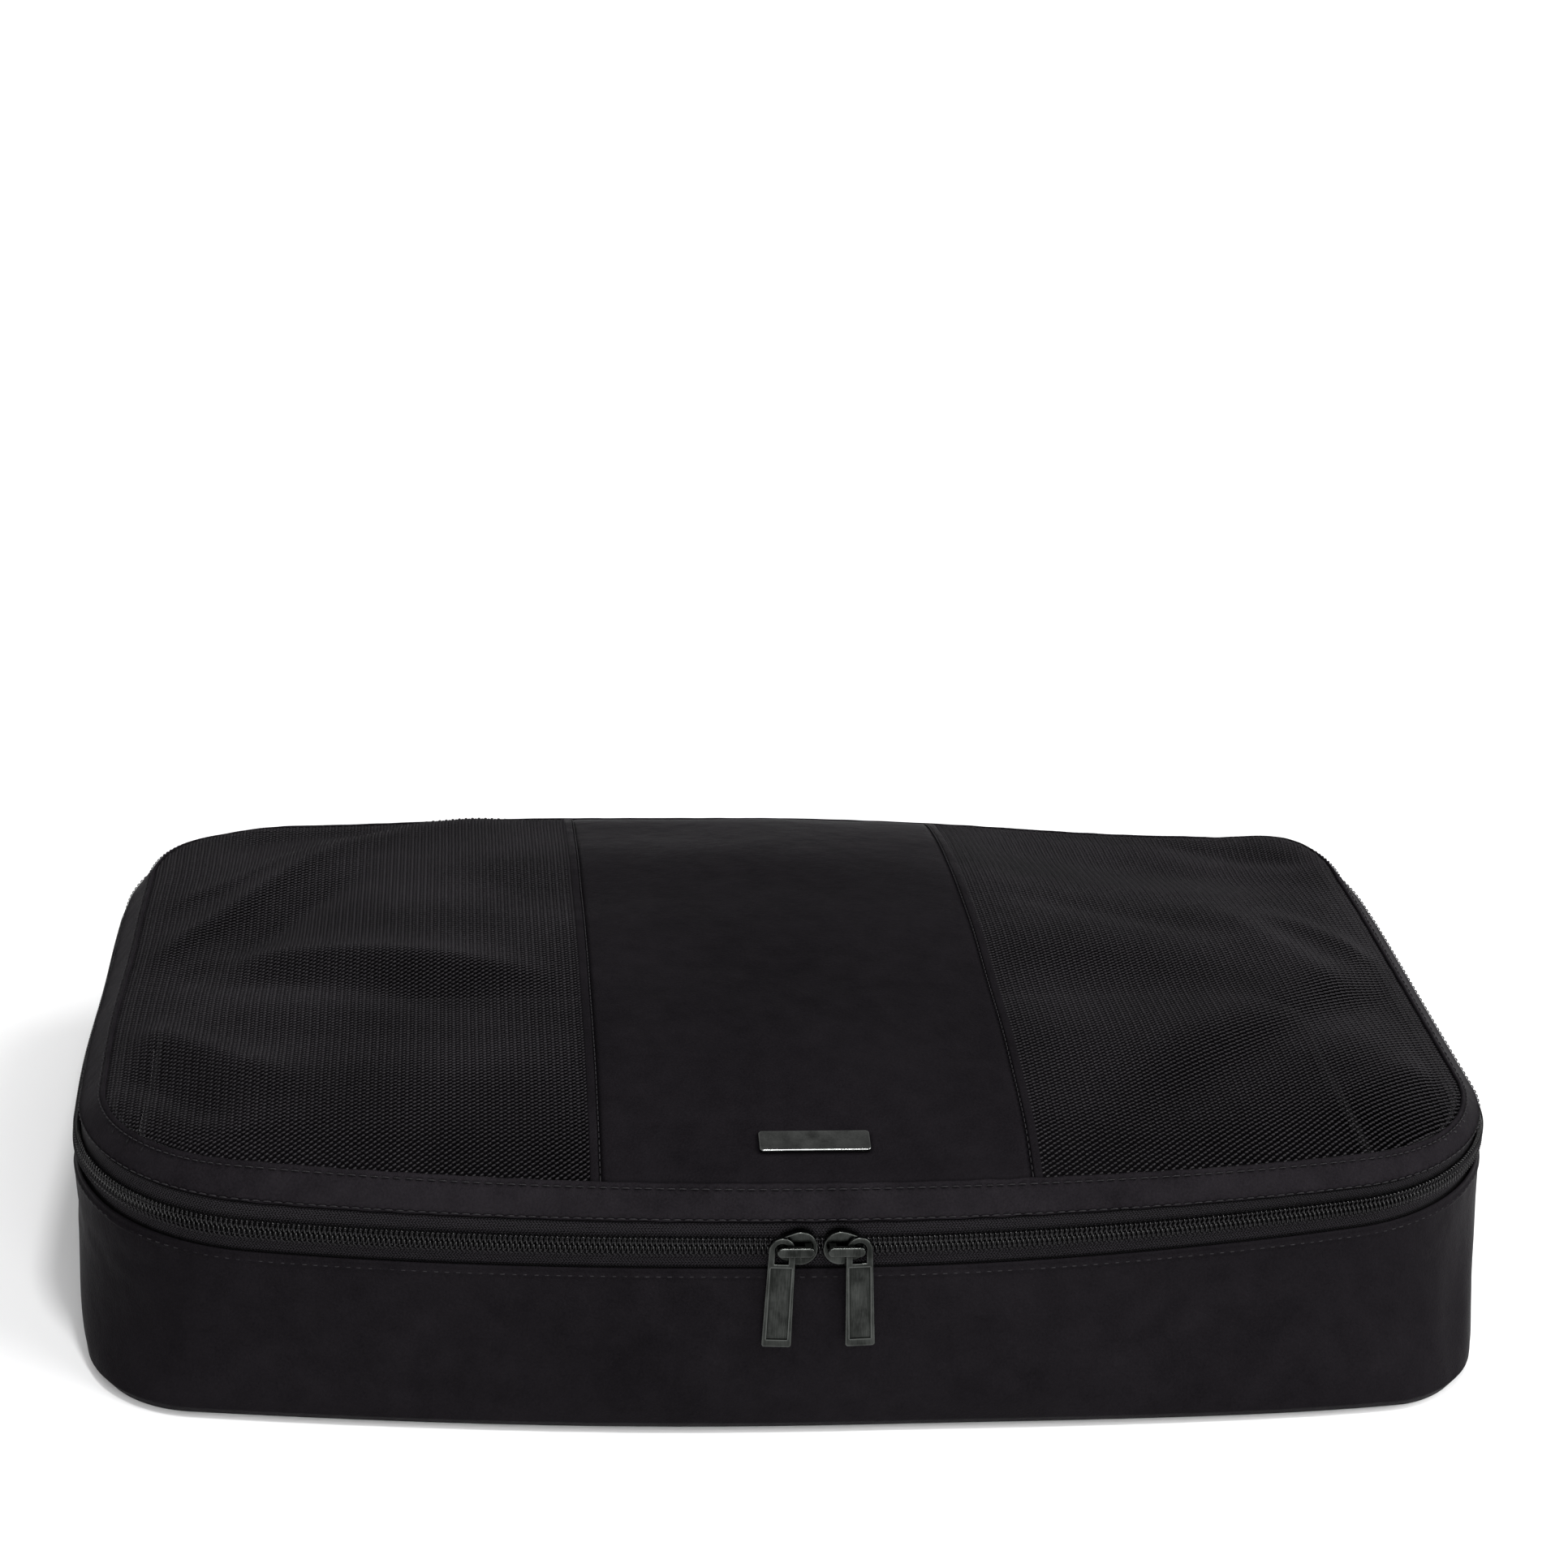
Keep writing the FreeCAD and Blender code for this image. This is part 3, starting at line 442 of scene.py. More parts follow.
class Look:
    """A material in the making: its shader and the nodes that feed it."""

    def __init__(self, name, **values):
        """The shader's even values are set on its own sockets."""
        self.material = bpy.data.materials.new(name)
        self.material.use_nodes = True
        self.tree = self.material.node_tree
        self.shader = self.tree.nodes["Principled BSDF"]
        for key, value in values.items():
            self.shader.inputs[key.replace("_", " ")].default_value = value
        self.place = self.add("ShaderNodeTexCoord").outputs["Object"]

    def feed(self, socket, value):
        """Set an input from a number, a colour or another node's output."""
        if isinstance(value, bpy.types.NodeSocket):
            self.tree.links.new(value, socket)
        else:
            socket.default_value = value

    def add(self, kind, settings=None, **inputs):
        made = self.tree.nodes.new(kind)
        assign(made, **(settings or {}))
        for key, value in inputs.items():
            self.feed(made.inputs[key.replace("_", " ")], value)
        return made

    def sums(self, operation, *values):
        made = self.add("ShaderNodeMath", {"operation": operation})
        for socket, value in zip(made.inputs, values):
            self.feed(socket, value)
        return made.outputs[0]

    def total(self, *parts):
        """The sum of (output, weight) pairs."""
        result = None
        for value, weight in parts:
            part = self.sums("MULTIPLY", value, weight)
            result = part if result is None else self.sums("ADD", result, part)
        return result

    def noise(self, scale, detail=2.0, place=None):
        made = self.add("ShaderNodeTexNoise", Vector=place or self.place, Scale=scale,
                        Detail=detail, Roughness=0.55)
        return made.outputs["Fac"]

    def nearness(self, distance, samples=8, inside=False):
        """1 in the open and less beside other surfaces, or below the surface's own edges."""
        made = self.add("ShaderNodeAmbientOcclusion", {"inside": inside, "samples": samples},
                        Distance=distance)
        return made.outputs["AO"]

    def with_painted_shade(self, tone):
        """Painted shade: a tone darkened beside stitches, seams and edges, where nearby surfaces
        shade it.
        """
        beside = self.nearness(1.3 * MM, samples=6)
        return self.sums("MULTIPLY", tone, self.sums("POWER", beside, 1.8))

    def wave(self, value, pitch):
        return self.sums("SINE", self.sums("MULTIPLY", value, 2 * math.pi / pitch))

    def weave(self):
        """Distances along and across the piece of cloth."""
        flat = self.add("ShaderNodeAttribute", {"attribute_name": "weave"})
        axes = self.add("ShaderNodeSeparateXYZ", Vector=flat.outputs["Vector"])
        return axes.outputs["X"], axes.outputs["Y"]

    def tint(self, dark, light, amount):
        """The base colour, between a dark and a light one."""
        ramp = self.add("ShaderNodeValToRGB", Fac=amount)
        ends = ramp.color_ramp.elements
        for end, colour, position in ((ends[0], dark, 0.3), (ends[1], light, 0.72)):
            end.color = (*colour, 1)
            end.position = position
        self.feed(self.shader.inputs["Base Color"], ramp.outputs["Color"])

    def roughen(self, amount, low, high):
        spread = self.add("ShaderNodeMapRange", Value=amount, To_Min=low, To_Max=high)
        self.feed(self.shader.inputs["Roughness"], spread.outputs[0])

    def emboss(self, *layers):
        """Bump from one or more (height, depth in metres) layers."""
        below = {}
        for height, depth in layers:
            bump = self.add("ShaderNodeBump", Height=height, Distance=depth, Strength=1.0, **below)
            below = {"Normal": bump.outputs["Normal"]}
        self.feed(self.shader.inputs["Normal"], below["Normal"])


def nylon(name, dark, light, gloss):
    """Fine black sateen: a close weave, a soft sheen, faint cloudy changes of tone and painted
    shade at seams.
    """
    look = Look(name, Specular_IOR_Level=gloss, Sheen_Weight=0.006, Sheen_Roughness=0.3,
                Sheen_Tint=(0.86, 0.82, 0.92, 1))
    cloud = look.noise(14.0, 4.0)
    patch = look.noise(110.0, 3.0)
    grain = look.noise(1500.0)
    tone = look.total((cloud, 0.38), (patch, 0.27), (grain, 0.35))
    # painted shade: the base tone darkens beside stitches, seams and edges
    look.tint(dark, light, look.with_painted_shade(tone))
    look.roughen(cloud, 0.36, 0.52)
    along, across = look.weave()
    weave = look.sums("MULTIPLY", look.wave(along, 0.52 * MM), look.wave(across, 0.44 * MM))
    creases = look.noise(55.0, 3.0)
    look.emboss((creases, 0.7 * MM), (patch, 0.3 * MM), (weave, 0.02 * MM), (grain, 0.22 * MM))
    return look.material


def thread_look(name, dark, light):
    """Twisted sewing thread with fine fibres across it."""
    look = Look(name, Specular_IOR_Level=0.12, Sheen_Weight=0.01, Sheen_Roughness=0.4)
    fibre = look.noise(2600.0)
    look.tint(dark, light, fibre)
    look.roughen(fibre, 0.42, 0.6)
    look.emboss((fibre, 0.12 * MM))
    return look.material


def mesh_look(name):
    """Knitted mesh: smooth bright filaments with a fine loop texture."""
    look = Look(name, Specular_IOR_Level=0.16, Sheen_Weight=0.005, Sheen_Roughness=0.3,
                Sheen_Tint=(0.9, 0.86, 0.95, 1))
    fibre = look.noise(1900.0)
    tone = look.total((fibre, 0.6), (look.noise(20.0, 3.0), 0.4))
    look.tint((0.003, 0.0027, 0.0032), (0.0170, 0.0152, 0.0177), tone)
    look.roughen(fibre, 0.36, 0.5)
    look.emboss((fibre, 0.12 * MM))
    return look.material


def herringbone(name):
    """Woven zip tape: narrow chevrons that turn back twice across its width, with painted shade by
    rim and chain.
    """
    look = Look(name, Specular_IOR_Level=0.04, Sheen_Weight=0.004, Sheen_Roughness=0.4)
    along, across = look.weave()
    fold = look.sums("PINGPONG", across, 0.9 * MM)
    chevron = look.wave(look.sums("ADD", along, fold), 0.95 * MM)
    height = look.total((chevron, 1.0), (look.wave(across, 0.5 * MM), 0.9))
    fibre = look.noise(2200.0)
    tone = look.total((look.sums("ADD", height, 1.5), 0.2), (fibre, 0.4))
    # painted shade: the tape's tone darkens beside the rim's lip and the chain
    look.tint((0.0008, 0.0007, 0.0009), (0.024, 0.022, 0.025), look.with_painted_shade(tone))
    look.roughen(fibre, 0.45, 0.6)
    look.emboss((height, 0.12 * MM), (fibre, 0.08 * MM))
    return look.material


def grosgrain(name):
    """Binding tape with ribs across it."""
    look = Look(name, Specular_IOR_Level=0.25, Sheen_Weight=0.1, Sheen_Roughness=0.4)
    rib = look.wave(look.weave()[0], 0.8 * MM)
    fibre = look.noise(2000.0)
    look.tint((0.004, 0.004, 0.0045), (0.014, 0.013, 0.015), look.total((rib, 0.2), (fibre, 1.0)))
    look.roughen(fibre, 0.5, 0.65)
    look.emboss((rib, 0.08 * MM), (fibre, 0.06 * MM))
    return look.material


def coil_look(name):
    """Polyester monofilament: dark, smooth and fairly glossy."""
    look = Look(name, Specular_IOR_Level=0.4)
    streak = look.noise(900.0)
    look.tint((0.0012, 0.0011, 0.0013), (0.0045, 0.0042, 0.0047), streak)
    look.roughen(streak, 0.08, 0.16)
    look.emboss((streak, 0.04 * MM))
    return look.material


def gunmetal(name, dark, light):
    """Dark plating, brushed and faintly smudged, with painted highlights on edges and painted
    shade in recesses.
    """
    look = Look(name, Metallic=1.0)
    smudge = look.noise(160.0, 4.0)
    brushed = look.add("ShaderNodeMapping", Vector=look.place, Scale=(2600, 2600, 130))
    brushing = look.noise(1.0, 3.0, brushed.outputs["Vector"])
    # painted highlight: edges made lighter in the base colour, standing in for glints of the lamps
    edge = look.sums("SUBTRACT", 1.0, look.nearness(0.5 * MM, inside=True))
    tone = look.total((smudge, 0.5), (brushing, 0.3), (edge, 1.1))
    # painted shade: the base colour darkens in recesses and beside other parts
    look.tint(dark, light, look.sums("MULTIPLY", tone, look.nearness(2.2 * MM)))
    look.roughen(smudge, 0.10, 0.24)
    look.emboss((brushing, 0.012 * MM), (smudge, 0.03 * MM))
    return look.material


def floor_look(name):
    """A matt white studio floor with a trace of unevenness."""
    look = Look(name, Specular_IOR_Level=0.1)
    soft = look.noise(3.0)
    look.tint((0.90, 0.90, 0.905), (0.93, 0.93, 0.932), soft)
    look.roughen(soft, 0.8, 0.9)
    return look.material


LOOKS = {
    "nylon": nylon("black_sateen", (0.0034, 0.0029, 0.0036), (0.0095, 0.0083, 0.0098), 0.009),
    "rim": nylon("rim_sateen", (0.0044, 0.0038, 0.0046), (0.0148, 0.0130, 0.0152), 0.004),
    "mesh": mesh_look("black_mesh"),
    "thread": thread_look("black_thread", (0.005, 0.0046, 0.0052), (0.020, 0.0184, 0.0208)),
    "chain_thread": thread_look("chain_thread", (0.002, 0.0018, 0.0021), (0.011, 0.010, 0.0115)),
    "tape": herringbone("zip_herringbone"),
    "binding": grosgrain("black_grosgrain"),
    "coil": coil_look("black_coil"),
    "metal": gunmetal("gunmetal_plating", (0.012, 0.013, 0.012), (0.068, 0.072, 0.068)),
    "plate": gunmetal("bright_plating", (0.08, 0.082, 0.08), (0.30, 0.31, 0.30)),
    "floor": floor_look("studio_floor"),
}


# ---------------------------------------------------------------- the wall

HEM_STITCH = HEM - 2.3 * MM
TUCK_STITCH = 3.6 * MM


def wall_level(height):
    """The wall's outline at a height: height, inset, front corner radius, front bow radius."""
    inset = glide(height, WALL[:, 0], WALL[:, 1])
    corner = glide(height, WALL[:, 0], WALL[:, 2])
    bow = 1 / glide(height, WALL[:, 0], 1 / WALL[:, 3])
    return height, float(inset), float(corner), float(bow)


def wall_relief(distance, height):
    """Soft swells, puckers under the hem and over the tuck, and the grooves of the stitches."""
    away = ease(2 * MM, 14 * MM, height) * (1 - ease(HEM - 14 * MM, HEM - 1 * MM, height))
    swell = 0.75 * MM * away * ripple(distance, 1.6 * height, 120 * MM, 3)
    swell = swell + 0.22 * MM * away * ripple(distance, 1.3 * height, 42 * MM, 4)
    pucker = ripple(distance, 0.4 * height, 11 * MM, 5)
    under_hem = hill(height, HEM - 4.5 * MM, 3.4 * MM) * (height < HEM)
    over_tuck = hill(height, 6.5 * MM, 3.2 * MM)
    gather = 0.10 * MM * under_hem * pucker + 0.13 * MM * over_tuck * pucker
    corner_folds = hill(distance, LEFT_CORNER, 42 * MM) * hill(height, HEM - 12 * MM, 9 * MM)
    gather = gather + 0.45 * MM * corner_folds * ripple(distance, 2.2 * height, 26 * MM, 6)
    dents = hill(distance, RIGHT_CORNER + 6 * MM, 38 * MM) * hill(height, 22 * MM, 17 * MM)
    gather = gather + 0.9 * MM * dents * ripple(distance, 0.35 * height, 30 * MM, 8)
    doubled = 0.35 * MM * ease(HEM_STITCH - 0.3 * MM, HEM_STITCH + 0.7 * MM, height)
    hem_groove = -0.42 * MM * hill(height, HEM_STITCH, 0.55 * MM)
    tuck_groove = -0.55 * MM * hill(height, TUCK_STITCH, 0.7 * MM)
    tuck_roll = 0.35 * MM * hill(height, 1.6 * MM, 1.2 * MM)
    return swell + gather + doubled + hem_groove + tuck_groove + tuck_roll


def wall_band(name, span, node):
    heights = np.concatenate([
        np.arange(0, 9, 0.6) * MM, np.arange(9, 51, 1.5) * MM,
        np.arange(51 * MM, HEM - 0.05 * MM, 0.4 * MM), [HEM]])
    heights[0] = 0.15 * MM
    levels = [wall_level(height) for height in heights]
    lengths = section_of(np.array(levels)[:, [1, 0]], CLOTH)[3]
    piece = sweep(name, span, SWEEP_STEP, levels, CLOTH,
                  lambda distance, place: wall_relief(
                      distance, np.interp(place, lengths, heights)))
    finish_piece(piece, LOOKS["nylon"], "base", [node])


def seam_points(side, heights):
    """Points up the seam at one end of the back wall, and which way the wall faces there."""
    where = np.array([ROUND - side * (HINGE_HALF - 2.2 * MM)])
    spots = [ring_point(where, wall_level(height), wall_relief(where, height))
             for height in heights]
    return np.concatenate([spot for spot, _ in spots]), spots[-1][1]


def make_wall():
    wall_band("wall_cloth", CHAIN, "side_wall")
    wall_band("back_wall_cloth", BEHIND, "back_wall")
    for name, height, out, lean in (("hem_stitches", HEM_STITCH, -0.02 * MM, (1.0, 0.0)),
                                    ("tuck_stitches", TUCK_STITCH, -0.42 * MM, (0.9, -0.4))):
        for part, span in (("", CHAIN), ("back_", BEHIND)):
            ring_stitches(part + name, span, wall_level(height), out, lean, "base")
    starts, ends = stitch_places(8 * MM, HEM - 4 * MM, FINE_PITCH)
    for side, name in ((-1, "left"), (1, "right")):
        a, _ = seam_points(side, starts)
        b, facing = seam_points(side, ends)
        stitches(f"{name}_back_seam_stitches", a, b, np.tile(facing, (len(a), 1)), "base")


def make_bottom():
    """The bottom panel: a closed slab, as rings about its middle."""
    rings = 26
    around = 300
    distances = np.linspace(0, ROUND, around, endpoint=False)
    edge, _ = plan(distances, WALL[0, 1] + 0.6 * MM, WALL[0, 2] - 0.6 * MM, WALL[0, 3])
    shares = np.linspace(0, 1, rings + 1)[1:, None, None]
    flat = np.concatenate([(edge * shares).reshape(-1, 2), [[0, 0]]])
    lift = 1.25 * MM + 0.25 * MM * ripple(flat[:, 0], flat[:, 1], 90 * MM, 12)
    over = np.column_stack([flat, lift])
    points = np.concatenate([over, over - (0, 0, 0.9 * MM)])
    count = len(flat)
    inner = np.arange(around)
    fan = np.column_stack([np.full(around, count - 1), inner, np.roll(inner, -1)])
    up = [quads(rings, around, wrap_columns=True), fan]
    down = [faces[:, ::-1] + count for faces in up]
    side = skirt(inner + (rings - 1) * around, count)
    piece = new_mesh("bottom_cloth", settle(points), [*up, *down, side], points)
    finish_piece(piece, LOOKS["nylon"], "base", ["bottom_panel"])


def binding(place, body, edge, rise, inset, corner, bow):
    """Grosgrain folded over a raw seam inside, with its own row of stitches."""
    levels = [(edge + rise * 6 * MM * share, inset + 0.8 * MM * math.sin(math.pi * share),
               corner, bow) for share in np.linspace(0, 1, 13)[::rise]]
    piece = sweep(f"{place}_binding", (0, ROUND), 3 * MM, levels, 1.0 * MM, closed=True)
    finish_piece(piece, LOOKS["binding"], body, [f"{place}_seam_binding"])
    level = (edge + rise * 4.6 * MM, inset + 1.75 * MM, corner, bow)
    ring_stitches(f"{place}_binding_stitches", (0, ROUND), level, 0, (-1.0, 0.0), body)


def make_bindings():
    off = 1.6 * MM
    tighter = 1.2 * MM
    binding("bottom", "base", 1.5 * MM, 1, WALL[0, 1] + off, WALL[0, 2] - tighter, WALL[0, 3])
    binding("lid", "lid", RIM_TOP - off, -1, RIM_TOP_INSET + off, RIM_TOP_CORNER - tighter,
            FRONT_BOW)


# ---------------------------------------------------------------- the zip

def behind_rim(height):
    """How far inside the lid's outline the inner side of the leaning rim lies."""
    slope = (RIM_TOP_INSET - RIM_LOW_INSET) / (RIM_TOP - RIM_LOW)
    return RIM_LOW_INSET + 1.7 * MM + (height - RIM_LOW) * slope


def tape_level(height):
    """The tape's outer side: in the leaning plane of the zip, and higher up behind the rim."""
    inset = ZIP_INSET + (height - ZIP) * ZIP_SLOPE - TAPE / 2
    inset = max(inset, behind_rim(height))
    return height, inset, CORNER - inset, FRONT_BOW


def tape_relief(distance, place):
    return 0.08 * MM * ripple(distance, place, 24 * MM, 21)


def make_tapes():
    for name, body, low, high, count in (
            ("lower", "base", HEM - 4 * MM, ZIP - TAPE_EDGE, 14),
            ("upper", "lid", ZIP + TAPE_EDGE, RIM_LOW + 3.5 * MM, 24)):
        levels = [tape_level(height) for height in np.linspace(low, high, count)]
        piece = sweep(f"{name}_tape_cloth", CHAIN, SWEEP_STEP, levels, TAPE, tape_relief)
        finish_piece(piece, LOOKS["tape"], body, [f"{name}_zip_tape"])


def coil_line(side, turns_from):
    """The line of a coil, which runs round a flat section and has thick heads that mesh."""
    steps = 10
    turns = int((CHAIN[1] - CHAIN[0]) / COIL_PITCH) - 2
    turn = np.arange(turns * steps) / steps
    angle = 2 * math.pi * turn
    middle = side * (COIL_FAR - COIL_OVERLAP) / 2
    half = (COIL_FAR + COIL_OVERLAP) / 2 - COIL_THREAD
    across = middle + half * np.sign(np.cos(angle)) * np.abs(np.cos(angle)) ** 0.7
    out = COIL_OUT + COIL_THICK * np.sign(np.sin(angle)) * np.abs(np.sin(angle)) ** 0.7
    distances = CHAIN[0] + COIL_PITCH * (turn + 1 + turns_from)
    head = ease(1.1 * MM, 0.1 * MM, side * across)
    points, away = zip_points(distances, across, out, middle)
    return points, away, COIL_THREAD * (0.85 + 0.4 * head)


def zip_points(distances, across, out, middle):
    """Points beside the zip's middle line, and vectors from the section's own middle."""
    xy, normal = plan(distances, ZIP_INSET, CORNER - ZIP_INSET, FRONT_BOW)
    upward = np.array([-ZIP_SLOPE, 1.0]) / math.hypot(ZIP_SLOPE, 1.0)
    outward = np.array([1.0, ZIP_SLOPE]) / math.hypot(ZIP_SLOPE, 1.0)
    steps = np.outer(across, upward) + np.outer(out, outward)
    away = steps - (middle * upward + COIL_OUT * outward)
    points = np.column_stack([xy + normal * steps[:, :1], ZIP + steps[:, 1]])
    return settle(points), unit(np.column_stack([normal * away[:, :1], away[:, 1]]))


def make_coils():
    for side, name, body, shift in ((-1, "lower", "base", 0.0), (1, "upper", "lid", 0.5)):
        points, faces = tube(*coil_line(side, shift))
        piece = new_mesh(f"{name}_coil_turns", points, [faces])
        finish_piece(piece, LOOKS["coil"], body, [f"{name}_coil"])


def make_coil_threads():
    """Two rows of slanting stitches sew each coil to its tape, one over every turn."""
    turns = int((CHAIN[1] - CHAIN[0]) / COIL_PITCH) - 3
    out = np.full(turns, COIL_OUT + COIL_THICK + 0.40 * MM)
    for side, name, body in ((-1, "lower", "base"), (1, "upper", "lid")):
        rows = []
        for near, far, shift in ((0.85, 1.55, 0.1), (1.8, 2.65, 0.45)):
            distances = CHAIN[0] + COIL_PITCH * (np.arange(turns) + 1 + shift)
            begin, _ = zip_points(distances, side * near * MM, out, 0)
            end, facing = zip_points(distances + 0.62 * COIL_PITCH, side * far * MM, out, 0)
            rows.append((begin, end, facing))
        joined = [np.concatenate(parts) for parts in zip(*rows)]
        stitches(f"{name}_coil_thread", *joined, body, 0.25 * MM, "zip_tape", "chain_thread")


# ---------------------------------------------------------------- the lid's rim

RIM_SIZE = math.hypot(RIM_TOP - RIM_LOW, RIM_TOP_INSET - RIM_LOW_INSET)
RIM_LEAN = ((RIM_TOP - RIM_LOW) / RIM_SIZE, (RIM_TOP_INSET - RIM_LOW_INSET) / RIM_SIZE)
RIM_START = -0.7 * MM
RIM_END = RIM_SIZE - 0.8 * MM
LOW_STITCH = RIM_START + 1.6 * MM
TOP_STITCH = RIM_END - 1.2 * MM


def rim_level(place):
    """The rim band's outline a distance up its slope from its lower edge."""
    share = place / RIM_SIZE
    inset = RIM_LOW_INSET + share * (RIM_TOP_INSET - RIM_LOW_INSET)
    low_corner = CORNER - RIM_LOW_INSET
    corner = low_corner + share * (RIM_TOP_CORNER - low_corner)
    return RIM_LOW + share * (RIM_TOP - RIM_LOW), inset, corner, FRONT_BOW


def rim_relief(distance, place):
    """The band is lightly padded between its two rows of stitches, with small slanting folds."""
    share = np.clip((place - LOW_STITCH) / (TOP_STITCH - LOW_STITCH), 0, 1)
    belly = np.sin(math.pi * share)
    loose = 0.55 + 0.45 * ripple(distance, 0.0, 150 * MM, 31)
    loose = loose + 0.8 * hill(distance, RIGHT_CORNER + 20 * MM, 60 * MM)
    folds = ripple(distance + 0.8 * place, 0.6 * place, 17 * MM, 32)
    fine = ripple(distance - 0.5 * place, 0.5 * place, 8 * MM, 33)
    raised = 0.35 * MM * belly + 0.40 * MM * belly * loose * folds + 0.12 * MM * belly * fine
    grooves = hill(place, LOW_STITCH, 0.5 * MM) + hill(place, TOP_STITCH, 0.5 * MM)
    edges = 1 - ease(RIM_START, LOW_STITCH, place) + ease(TOP_STITCH, RIM_END, place)
    pucker = ripple(distance, 0.0, 7 * MM, 34)
    lip = 0.5 * MM * (1 - ease(RIM_START, LOW_STITCH, place))
    return 0.55 * MM + raised + lip - 0.4 * MM * grooves + (0.25 + 0.16 * pucker) * MM * edges


def make_rim():
    places = np.concatenate([[RIM_START], np.arange(RIM_START + 0.25 * MM, RIM_END, 0.4 * MM),
                             [RIM_END]])
    levels = [rim_level(place) for place in places]
    piece = sweep("rim_cloth", (0, ROUND), 2.2 * MM, levels, 1.1 * MM,
                  lambda distance, along: rim_relief(distance, along + RIM_START), closed=True)
    finish_piece(piece, LOOKS["rim"], "lid", ["rim_band"])
    for name, place in (("rim_lower_stitches", LOW_STITCH), ("rim_upper_stitches", TOP_STITCH)):
        ring_stitches(name, (0, ROUND), rim_level(place),
                      lambda distances: rim_relief(distances, place) + 0.02 * MM, RIM_LEAN, "lid")


# ---------------------------------------------------------------- the lid's top

TOP_HALF = HALF_WIDTH - RIM_TOP_INSET
TOP_BACK = BACK - RIM_TOP_INSET
DRAPE_FRAMES = 30
DRAPE_LIMIT = 4.5 * MM
SHEET_STEP = 5 * MM
SHEET_X = np.arange(-45, 46) * SHEET_STEP
SHEET_Y = np.arange(-31, 32) * SHEET_STEP

OUTLINE_AT = np.linspace(0, ROUND, 1400, endpoint=False)
TOP_OUTLINE, _ = plan(OUTLINE_AT, RIM_TOP_INSET, RIM_TOP_CORNER, FRONT_BOW)


def inside_by(x, y):
    """How far points lie inside the lid's top outline; less than 0 outside."""
    spots = np.stack([np.ravel(x), np.ravel(y)], axis=1)
    ahead = np.roll(TOP_OUTLINE, -1, axis=0) - TOP_OUTLINE
    result = np.empty(len(spots))
    for start in range(0, len(spots), 2000):
        part = spots[start:start + 2000]
        gap = part[:, None, :] - TOP_OUTLINE[None]
        nearest = np.argmin((gap ** 2).sum(2), axis=1)
        offset = part - TOP_OUTLINE[nearest]
        turn = ahead[nearest, 0] * offset[:, 1] - ahead[nearest, 1] * offset[:, 0]
        result[start:start + 2000] = np.sign(turn) * np.linalg.norm(offset, axis=1)
    return result.reshape(np.shape(x))


def crown(x, y):
    """The lid's top as cut: a low dome that meets the rim all round."""
    across = np.abs(x) / TOP_HALF
    along = np.abs(y) / TOP_BACK
    dome = np.maximum(1 - across ** CROWN_POWER, 0) * np.maximum(1 - along ** CROWN_POWER, 0)
    inside = inside_by(x, y)
    within = np.clip(inside / (9 * MM), 0, 4)
    tucked = 1.5 * MM * (1 - ease(-0.5 * MM, 3.5 * MM, inside)) + np.maximum(-inside, 0)
    return RIM_TOP + CROWN * dome * (1 - np.exp(-within ** 1.5)) - tucked


def stiffness(x, y):
    """1 on the plain panel and round the plate, which hardly fold, and 0 out on the mesh."""
    return 1 - ease(PANEL_HALF - 6 * MM, PANEL_HALF + 22 * MM, np.abs(x))


def packed_clothes(x, y):
    """What the lid rests on: the uneven top of folded clothes."""
    lumps = 2.6 * MM * ripple(x, y, 105 * MM, 41) + 1.2 * MM * ripple(x, y, 48 * MM, 42)
    deep = ease(4 * MM, 40 * MM, inside_by(x, y))
    return crown(x, y) - 1.4 * MM + lumps * deep * (1 - 0.75 * stiffness(x, y))


def near_plate(x, y):
    """1 over the stiff patch behind the plate, falling to 0 a little way off it."""
    mid = (BADGE_LOW + BADGE_HIGH) / 2
    off_x = np.maximum(np.abs(x - mid[0]) - 21 * MM, 0)
    off_y = np.maximum(np.abs(y - mid[1]) - 8 * MM, 0)
    return 1 - ease(0, 14 * MM, np.hypot(off_x, off_y))


def group(piece, name, weights):
    """A vertex group with one weight for each point."""
    made = piece.vertex_groups.new(name=name)
    for index, weight in enumerate(np.ravel(weights)):
        if weight > 0:
            made.add([index], float(weight), "REPLACE")


def drape(x, y, z):
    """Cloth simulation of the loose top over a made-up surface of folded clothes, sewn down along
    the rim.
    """
    rows, columns = x.shape
    flat = np.stack([x, y, z + 1.2 * MM * (inside_by(x, y) > 0)], axis=2)
    cloth = new_mesh("drape_cloth", flat, [quads(rows, columns)])
    clothes = new_mesh("drape_clothes", np.stack([x, y, packed_clothes(x, y)], axis=2),
                       [quads(rows, columns)])
    clothes.modifiers.new("Collision", "COLLISION")
    assign(clothes.collision, thickness_outer=0.6 * MM, cloth_friction=8)
    group(cloth, "pins", (inside_by(x, y) < 5 * MM) | (near_plate(x, y) > 0.6))
    group(cloth, "taut", stiffness(x, y))
    modifier = cloth.modifiers.new("Cloth", "CLOTH")
    assign(modifier.settings, quality=5, mass=0.02, tension_stiffness=12,
           compression_stiffness=12, shear_stiffness=4, bending_stiffness=0.5,
           vertex_group_mass="pins", vertex_group_shrink="taut",
           shrink_min=-0.010, shrink_max=-0.002)
    assign(modifier.collision_settings, distance_min=0.5 * MM, use_self_collision=False)
    scene = bpy.context.scene
    for number in range(1, DRAPE_FRAMES + 1):
        scene.frame_set(number)
    settled = cloth.evaluated_get(bpy.context.evaluated_depsgraph_get()).to_mesh()
    result = np.empty(rows * columns * 3, np.float32)
    settled.vertices.foreach_get("co", result)
    scene.frame_set(1)
    for piece in (cloth, clothes):
        data = piece.data
        bpy.data.objects.remove(piece)
        bpy.data.meshes.remove(data)
    return result.reshape(rows, columns, 3).astype(float)


